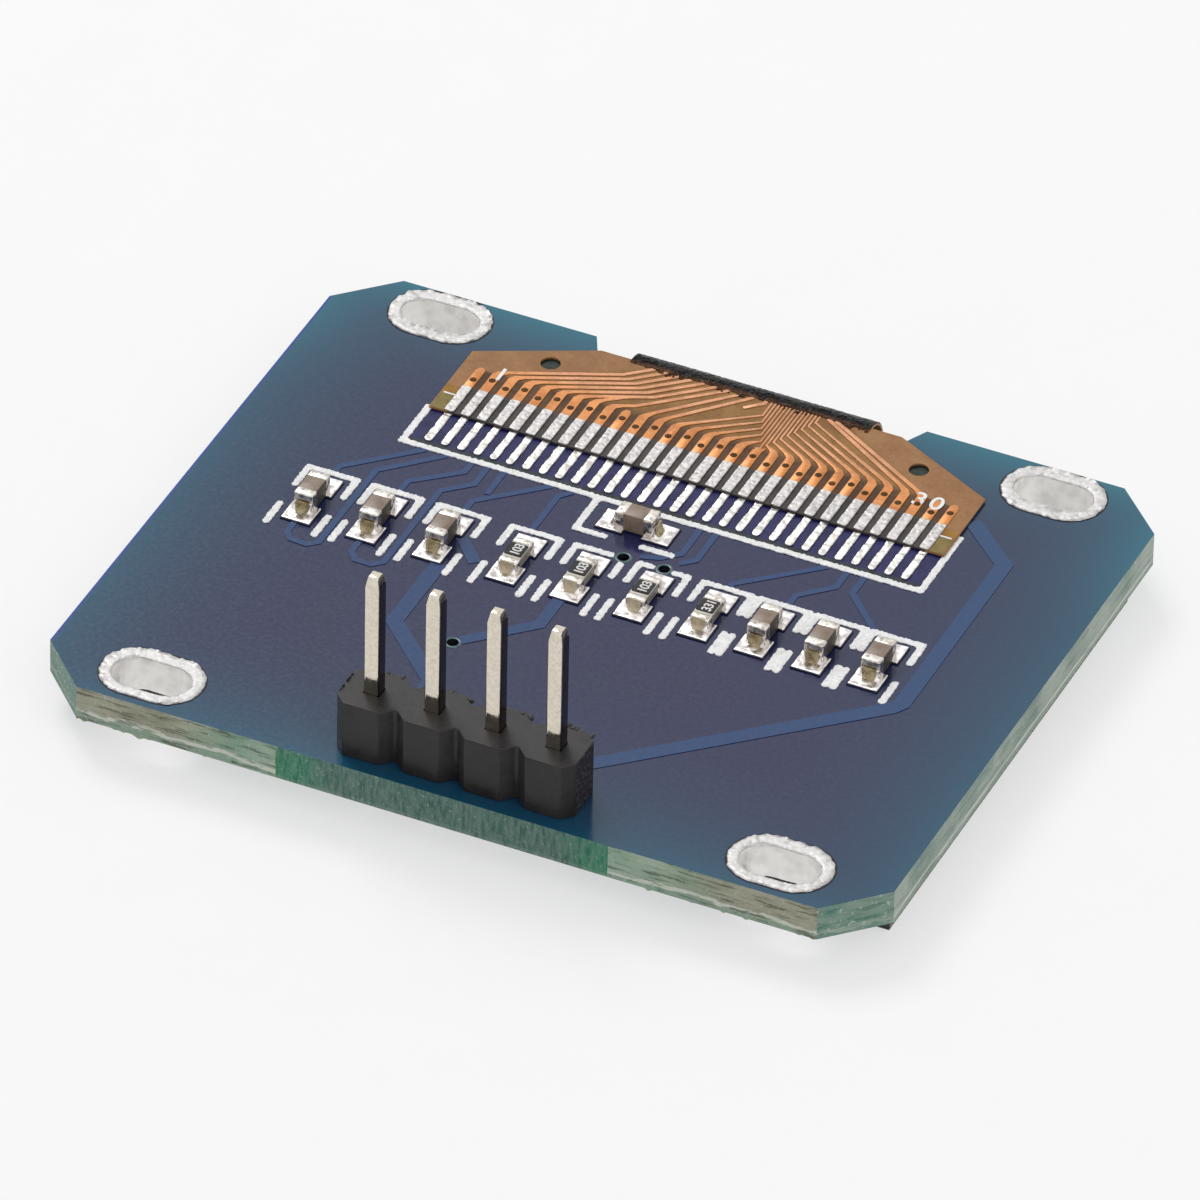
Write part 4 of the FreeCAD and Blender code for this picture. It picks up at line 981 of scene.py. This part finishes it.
def makeChipSolder():
    pads = mergedCopy("chip_pads")
    halo = copyPiece(pads)
    padTop = boxMm("chip_pads")[1].z
    middleZ = (boardTop + padTop) / 2
    moveVertices(pads, lambda point: point.z > middleZ, (0, 0, solderLook["padRise"]))
    fillet = makeFillet(solderLook["filletHalf"], solderLook["filletRun"], 1.03, 0.09)
    fillets = [piece for kind, index in chips for piece in atChipEnds(fillet, kind, index, 2, padTop)]
    bpy.data.objects.remove(fillet)
    solder = joinPieces([pads] + fillets)
    makeLumpy(solder, solderLook["voxel"], solderLook["lumpSize"], solderLook["lumps"])
    finishPiece(solder, "chipSolder", "padTin", ["chip_pads", "chip_solder"], smooth=180)
    # A near-black halo round the pads: the mask's clearance and painted shade
    fatten(halo, solderLook["gap"])
    moveVertices(halo, lambda point: point.z > middleZ, (0, 0, -solderLook["gapDrop"]))
    moveVertices(halo, lambda point: point.z < boardTop, (0, 0, solderLook["gap"]))
    finishPiece(halo, "padGaps", "maskGap")
    # Thin drops over the near fillets, gold at the capacitors and cream at the resistors: a painted
    # reflection of the bodies in the solder
    reflectionDrop = makeFillet(solderLook["fluxHalf"], solderLook["fluxRun"], 0.9, 0.04)
    moveVertices(reflectionDrop, lambda point: True, (0, -solderLook["fluxOut"], 0))
    for reflectionKind, finish in (("capacitor", "fluxGold"), ("resistor", "fluxCream")):
        drops = []
        for kind, index in chips:
            if kind == reflectionKind:
                ends = 2 if index == solderLook["fluxBothEnds"] else 1
                drops += atChipEnds(reflectionDrop, kind, index, ends, padTop + solderLook["fluxLift"])
        finishPiece(joinPieces(drops), f"{reflectionKind}FilletReflection", finish, smooth=60)
    bpy.data.objects.remove(reflectionDrop)


makeChipSolder()
print("chip solder done")

# Print: thick white strokes with round, beaded edges
printLook = {
    "rise": 0.02, "spread": 0.018, "rounding": 0.12, "voxel": 0.03, "beadSize": 0.11, "beads": 0.085,
    "frameLeft": -10.8, "filmSide": 7.4, "hidden": 1.3,
}


def makePrint():
    ink = mergedCopy("white_print")
    # The left side line ends under the film
    moveVertices(ink, lambda point: point.x < printLook["frameLeft"] and point.y > printLook["filmSide"],
                 (0, -printLook["hidden"], 0))
    fatten(ink, printLook["spread"])
    roundUprights(ink, printLook["rounding"])
    moveVertices(ink, lambda point: point.z > boardTop + 0.01, (0, 0, printLook["rise"]))
    makeLumpy(ink, printLook["voxel"], printLook["beadSize"], printLook["beads"], soften=1)
    finishPiece(ink, "whitePrint", "whiteInk", ["white_print"], smooth=180)


# The masked traces, one of them lengthened to its via
traceLook = {"rounding": 0.022, "endAt": (-3.4, -5.38), "endReach": 0.4, "endShift": (-0.16, -0.17, 0)}


def makeRaisedLines():
    lines = mergedCopy("mask_lines")
    x, y = traceLook["endAt"]
    moveVertices(lines, lambda point: (point - Vector((x, y, point.z))).length < traceLook["endReach"],
                 traceLook["endShift"])
    roundEdges(lines, traceLook["rounding"], segments=1, angle=40)
    finishPiece(lines, "raisedLines", "blueMaskOverCopper", ["mask_lines"], smooth=0)


makePrint()
makeRaisedLines()
print("print and raised lines done")

# Tail: film, copper, fingers, lands and the dark coat over the fold
tailLook = {
    "filmRounding": 0.02,
    "copperRise": 0.02,
    "copperRounding": 0.025,
    "contactCount": 30,
    "contactWidth": 0.42,
    "dotRadius": 0.145,
    "dotPlaces": (0.50, 0.77),  # from the fingers' far end, for even and odd contacts
    "fingerRise": 0.02,
    "fingerRounding": 0.05,
    "fingerLumps": (0.028, 0.2, 0.03),
    "landRise": 0.05,
    "landSpread": 0.025,
    "landRounding": 0.16,
    "landLumps": (0.032, 0.3, 0.06),
    "coatLumps": (0.036, 0.12, 0.05),
    "coatWave": (0.12, 2.3),
    "coatBend": (1.14, 2.3),
    "granules": 420,
    "granuleSizes": (0.035, 0.085),
}
tailLow = boxMm("flex_film")[0]
fingerLow, fingerHigh = boxMm("tail_fingers")
filmTop = fingerLow.z


def makeTailCopper():
    copper = mergedCopy("tail_copper")
    moveVertices(copper, lambda point: point.z > filmTop + 0.01, (0, 0, tailLook["copperRise"]))
    roundEdges(copper, tailLook["copperRounding"], angle=50)
    finishPiece(copper, "tailCopper", "tailCopper", ["tail_copper"], smooth=60)
    bpy.ops.mesh.primitive_uv_sphere_add(segments=16, ring_count=8, radius=tailLook["dotRadius"])
    pattern = bpy.context.object
    pattern.scale = (1, 1, 0.16)
    applyPlace(pattern)
    moveVertices(pattern, lambda point: point.length < 0.05, (0, 0, -0.008))  # a slight dimple at the middle
    top = boxMm("tail_copper")[1].z + tailLook["copperRise"]
    width, count = tailLook["contactWidth"], tailLook["contactCount"]
    pitch = (fingerHigh.x - fingerLow.x - width) / (count - 1)
    dots = []
    for index in range(count):
        x = fingerLow.x + width / 2 + index * pitch
        dots.append(copyPiece(pattern, (x, fingerHigh.y + tailLook["dotPlaces"][index % 2], top)))
    bpy.data.objects.remove(pattern)
    finishPiece(joinPieces(dots), "tailDots", "tailDots", smooth=60)


def makeTail():
    film = mergedCopy("flex_film")
    roundEdges(film, tailLook["filmRounding"])
    finishPiece(film, "flexFilm", "brownFilm", ["flex_film"], smooth=30)
    fingers = mergedCopy("tail_fingers")
    moveVertices(fingers, lambda point: point.z > filmTop + 0.02, (0, 0, tailLook["fingerRise"]))
    roundUprights(fingers, tailLook["fingerRounding"], segments=2)
    makeLumpy(fingers, *tailLook["fingerLumps"], soften=1)
    finishPiece(fingers, "tailFingers", "fingerTin", ["tail_fingers"], smooth=180)
    lands = mergedCopy("tail_lands")
    landTop = boxMm("tail_lands")[1].z
    fatten(lands, tailLook["landSpread"])
    roundUprights(lands, tailLook["landRounding"])
    moveVertices(lands, lambda point: point.z > landTop - 0.01 and point.y < fingerLow.y - 0.1,
                 (0, 0, tailLook["landRise"] - tailLook["landSpread"]))
    makeLumpy(lands, *tailLook["landLumps"], soften=1)
    finishPiece(lands, "tailLands", "landTin", ["tail_lands"], smooth=180)


# Black coat over the fold, with hard granules along its ragged edge
def makeCoat():
    coatLow, coatHigh = boxMm("bend_coating")
    cover = mergedCopy("bend_coating")
    makeLumpy(cover, *tailLook["coatLumps"], soften=0, middle=0.7)
    bpy.ops.mesh.primitive_ico_sphere_add(subdivisions=1, radius=1)
    pattern = bpy.context.object
    wave, waves = tailLook["coatWave"]
    bendRun, bendSpread = tailLook["coatBend"]
    granules = []
    for _ in range(tailLook["granules"]):
        x = random.uniform(coatLow.x + 0.05, coatHigh.x - 0.05)
        taper = min(x - coatLow.x, coatHigh.x - x, 1.0)
        y = coatLow.y + random.uniform(-0.1 * taper, 0.5) + wave * math.sin(x * waves)
        size = random.uniform(*tailLook["granuleSizes"])
        drop = max(y - (coatHigh.y - bendRun), 0) ** 2 / bendSpread
        granules.append(copyPiece(pattern, (x, y, coatHigh.z - 0.03 - drop), random.uniform(0, 3),
                                  (size * random.uniform(0.8, 1.6), size, size * random.uniform(0.6, 1.0))))
    bpy.data.objects.remove(pattern)
    finishPiece(joinPieces([cover] + granules), "bendCoat", "coatBlack", ["bend_coating"],
                smooth=50)


# Bare laminate between the lands, golden patches with a stroke at both ends of the row, and a painted shade
# below the film's holes. A bar has its place from the board's middle, the fingers' near end and the film's
# top
groundLook = {
    "fieldHalf": 10.88,
    "patch": ((10.65, 0.8, 0.006), (0.6, 1.56, 0.012), 0.05),
    "stroke": ((10.58, 1.06, 0.015), (0.56, 0.08, 0.03), 0.03),
    "hole": (7.9, 12.08),
    "holeShift": -0.07,
    "holeRadius": 0.43,
}


def makeTailGround():
    landLow = boxMm("tail_lands")[0]
    far = tailLow.y + 0.3
    field = addGrid(44, 6, (0, (landLow.y - 0.3 + far) / 2, boardTop + 0.006),
                    (2 * groundLook["fieldHalf"], far - landLow.y + 0.24, 1))
    applyModifier(field, "SOLIDIFY", thickness=0.01, offset=0)
    finishPiece(field, "landField", "landField")
    for index, side in enumerate((-1, 1), 1):
        for kind, name, finish, slotName in (("patch", "tailPatch", "goldPatch", "film"),
                                             ("stroke", "patchStroke", "whiteInk", "print")):
            (x, y, z), size, rounding = groundLook[kind]
            bar = addBar((side * x, fingerLow.y + y, filmTop + z), size, rounding)
            finishPiece(bar, f"{name}{index}", finish)
        # A near-black disc under each film hole, set off so that a crescent of mask shows: painted shade
        holeX, holeY = groundLook["hole"]
        bpy.ops.mesh.primitive_circle_add(
            vertices=40, radius=groundLook["holeRadius"], fill_type="NGON",
            location=(side * holeX + groundLook["holeShift"], holeY, boardTop + 0.008))
        shade = bpy.context.object
        applyModifier(shade, "SOLIDIFY", thickness=0.01, offset=0)
        finishPiece(shade, f"holeShade{index}", "filmHoleShade")


# Contact numbers at both ends of the tail
numberLook = {"size": 1.15, "depth": 0.012, "spacing": 1.25,
              "places": {"1": (-9.3, 24.98), "30": (9.08, 24.8)}}


def makePinNumbers():
    for body, (x, y) in numberLook["places"].items():
        number = addText(body, (x, nearEdge + y, filmTop + 0.035), 0, numberLook["size"], numberLook["depth"],
                         numberLook["spacing"])
        finishPiece(number, f"pinNumber{body}", "whiteInk", smooth=0)


makeTail()
makeCoat()
makeTailCopper()
makeTailGround()
makePinNumbers()
print("tail done")

# Display under the board: name, finish, slot and rounding of each layer
displayLook = {
    "display_front_glass": ("frontGlass", "displayGlass", "glass", 0.05),
    "display_rear_glass": ("rearGlass", "displayGlass", "glass", 0.04),
    "display_polariser": ("polariser", "polariserFilm", "polariser", 0.02),
    "display_pixel_layer": ("pixelLayer", "pixelLayer", "pixels", 0.005),
    "display_edge_seal": ("edgeSeal", "sealGrey", "adhesive", 0.005),
    "display_driver_chip": ("driverChip", "driverSilicon", "silicon", 0.02),
    "mounting_tape": ("mountingTape", "foamTape", "adhesive", 0.01),
}
for nodeName, (name, finish, slotName, rounding) in displayLook.items():
    layer = mergedCopy(nodeName)
    roundEdges(layer, rounding)
    finishPiece(layer, name, finish, [nodeName])
print("display done")

# Studio: pale floor, soft light and the camera of the photograph
studio = {
    "cameraAngles": (24.037, 37.337, -1.237),  # azimuth, elevation and roll
    "cameraDistance": 609.263,
    "cameraShift": (-0.19, -0.524),
    "focalPixels": 15820.8,
    "imagePixels": 1200,
    "sensor": 36.0,
    "floorSize": 4,
    "floorDrop": -0.00005,  # just clear of the display's face
    "floorColour": (0.86, 0.86, 0.86),
    "floorGlow": 0.6,
    "worldLight": 0.55,
}


def makeCamera():
    azimuth, elevation, roll = (math.radians(angle) for angle in studio["cameraAngles"])
    back = Vector((math.sin(azimuth) * math.cos(elevation), -math.cos(azimuth) * math.cos(elevation),
                   math.sin(elevation)))
    right = Vector((math.cos(azimuth), math.sin(azimuth), 0))
    upward = back.cross(right)
    shiftX, shiftY = studio["cameraShift"]
    place = (right * shiftX + upward * shiftY + back * studio["cameraDistance"]) * mm
    place.z += boardTop * mm
    imageRight = right * math.cos(roll) - upward * math.sin(roll)
    imageUp = right * math.sin(roll) + upward * math.cos(roll)
    data = bpy.data.cameras.new("photoCamera")
    data.sensor_width = studio["sensor"]
    data.lens = studio["focalPixels"] / studio["imagePixels"] * studio["sensor"]
    data.clip_start = 0.05
    data.clip_end = 20.0
    camera = bpy.data.objects.new("photoCamera", data)
    bpy.context.scene.collection.objects.link(camera)
    camera.matrix_world = Matrix((*zip(imageRight, imageUp, back, place), (0, 0, 0, 1)))
    bpy.context.scene.camera = camera


def seenRay(tree):
    path = tree.nodes.new("ShaderNodeLightPath").outputs
    seen = calc("MAXIMUM", path["Is Camera Ray"], path["Is Glossy Ray"])
    return calc("MAXIMUM", seen, path["Is Transmission Ray"])


def makeFloor():
    size = studio["floorSize"]
    floor = addGrid(2, 2, (0, 0, studio["floorDrop"]), (size, size, 1))
    floor.name = "floor"
    shader, place = newMaterial("paleFloor", Roughness=0.9)
    tree = place.id_data
    grain = placeGroup(grainGroup, place, Size=300)
    pale = studio["floorColour"]
    link(blendColour(grain["Tone"], pale, tuple(tone * 1.02 for tone in pale)), shader["Base Color"])
    glow = addNode("Emission", {"Color": (1, 1, 1, 1), "Strength": 1.0}, tree)
    mixer = addNode("MixShader", {0: times(seenRay(tree), studio["floorGlow"]),
                                  1: tree.nodes["Principled BSDF"].outputs[0], 2: glow.outputs[0]})
    link(mixer.outputs[0], tree.nodes["Material Output"].inputs["Surface"])
    floor.data.materials.append(bpy.data.materials["paleFloor"])


def makeWorld():
    world = bpy.data.worlds.new("studioWorld")
    bpy.context.scene.world = world
    world.use_nodes = True
    tree = world.node_tree
    backdrop = tree.nodes["Background"].inputs
    backdrop["Color"].default_value = (1, 1, 1, 1)
    link(remap(seenRay(tree), 0.0, 1.0, studio["worldLight"], 1.0), backdrop["Strength"])


def makeLight(name, place, size, power):
    data = bpy.data.lights.new(name, "AREA")
    data.shape = "SQUARE"
    data.size = size
    data.energy = power
    light = bpy.data.objects.new(name, data)
    light.location = place
    light.rotation_mode = "QUATERNION"
    light.rotation_quaternion = (-Vector(place)).to_track_quat("-Z", "Y")
    bpy.context.scene.collection.objects.link(light)


makeCamera()
makeFloor()
makeWorld()
makeLight("keyLight", (-0.35, 0.30, 0.55), 0.30, 2.2)
makeLight("fillLight", (0.45, -0.35, 0.5), 0.5, 1.1)
bpy.context.scene.view_settings.view_transform = "Standard"
print("studio done")
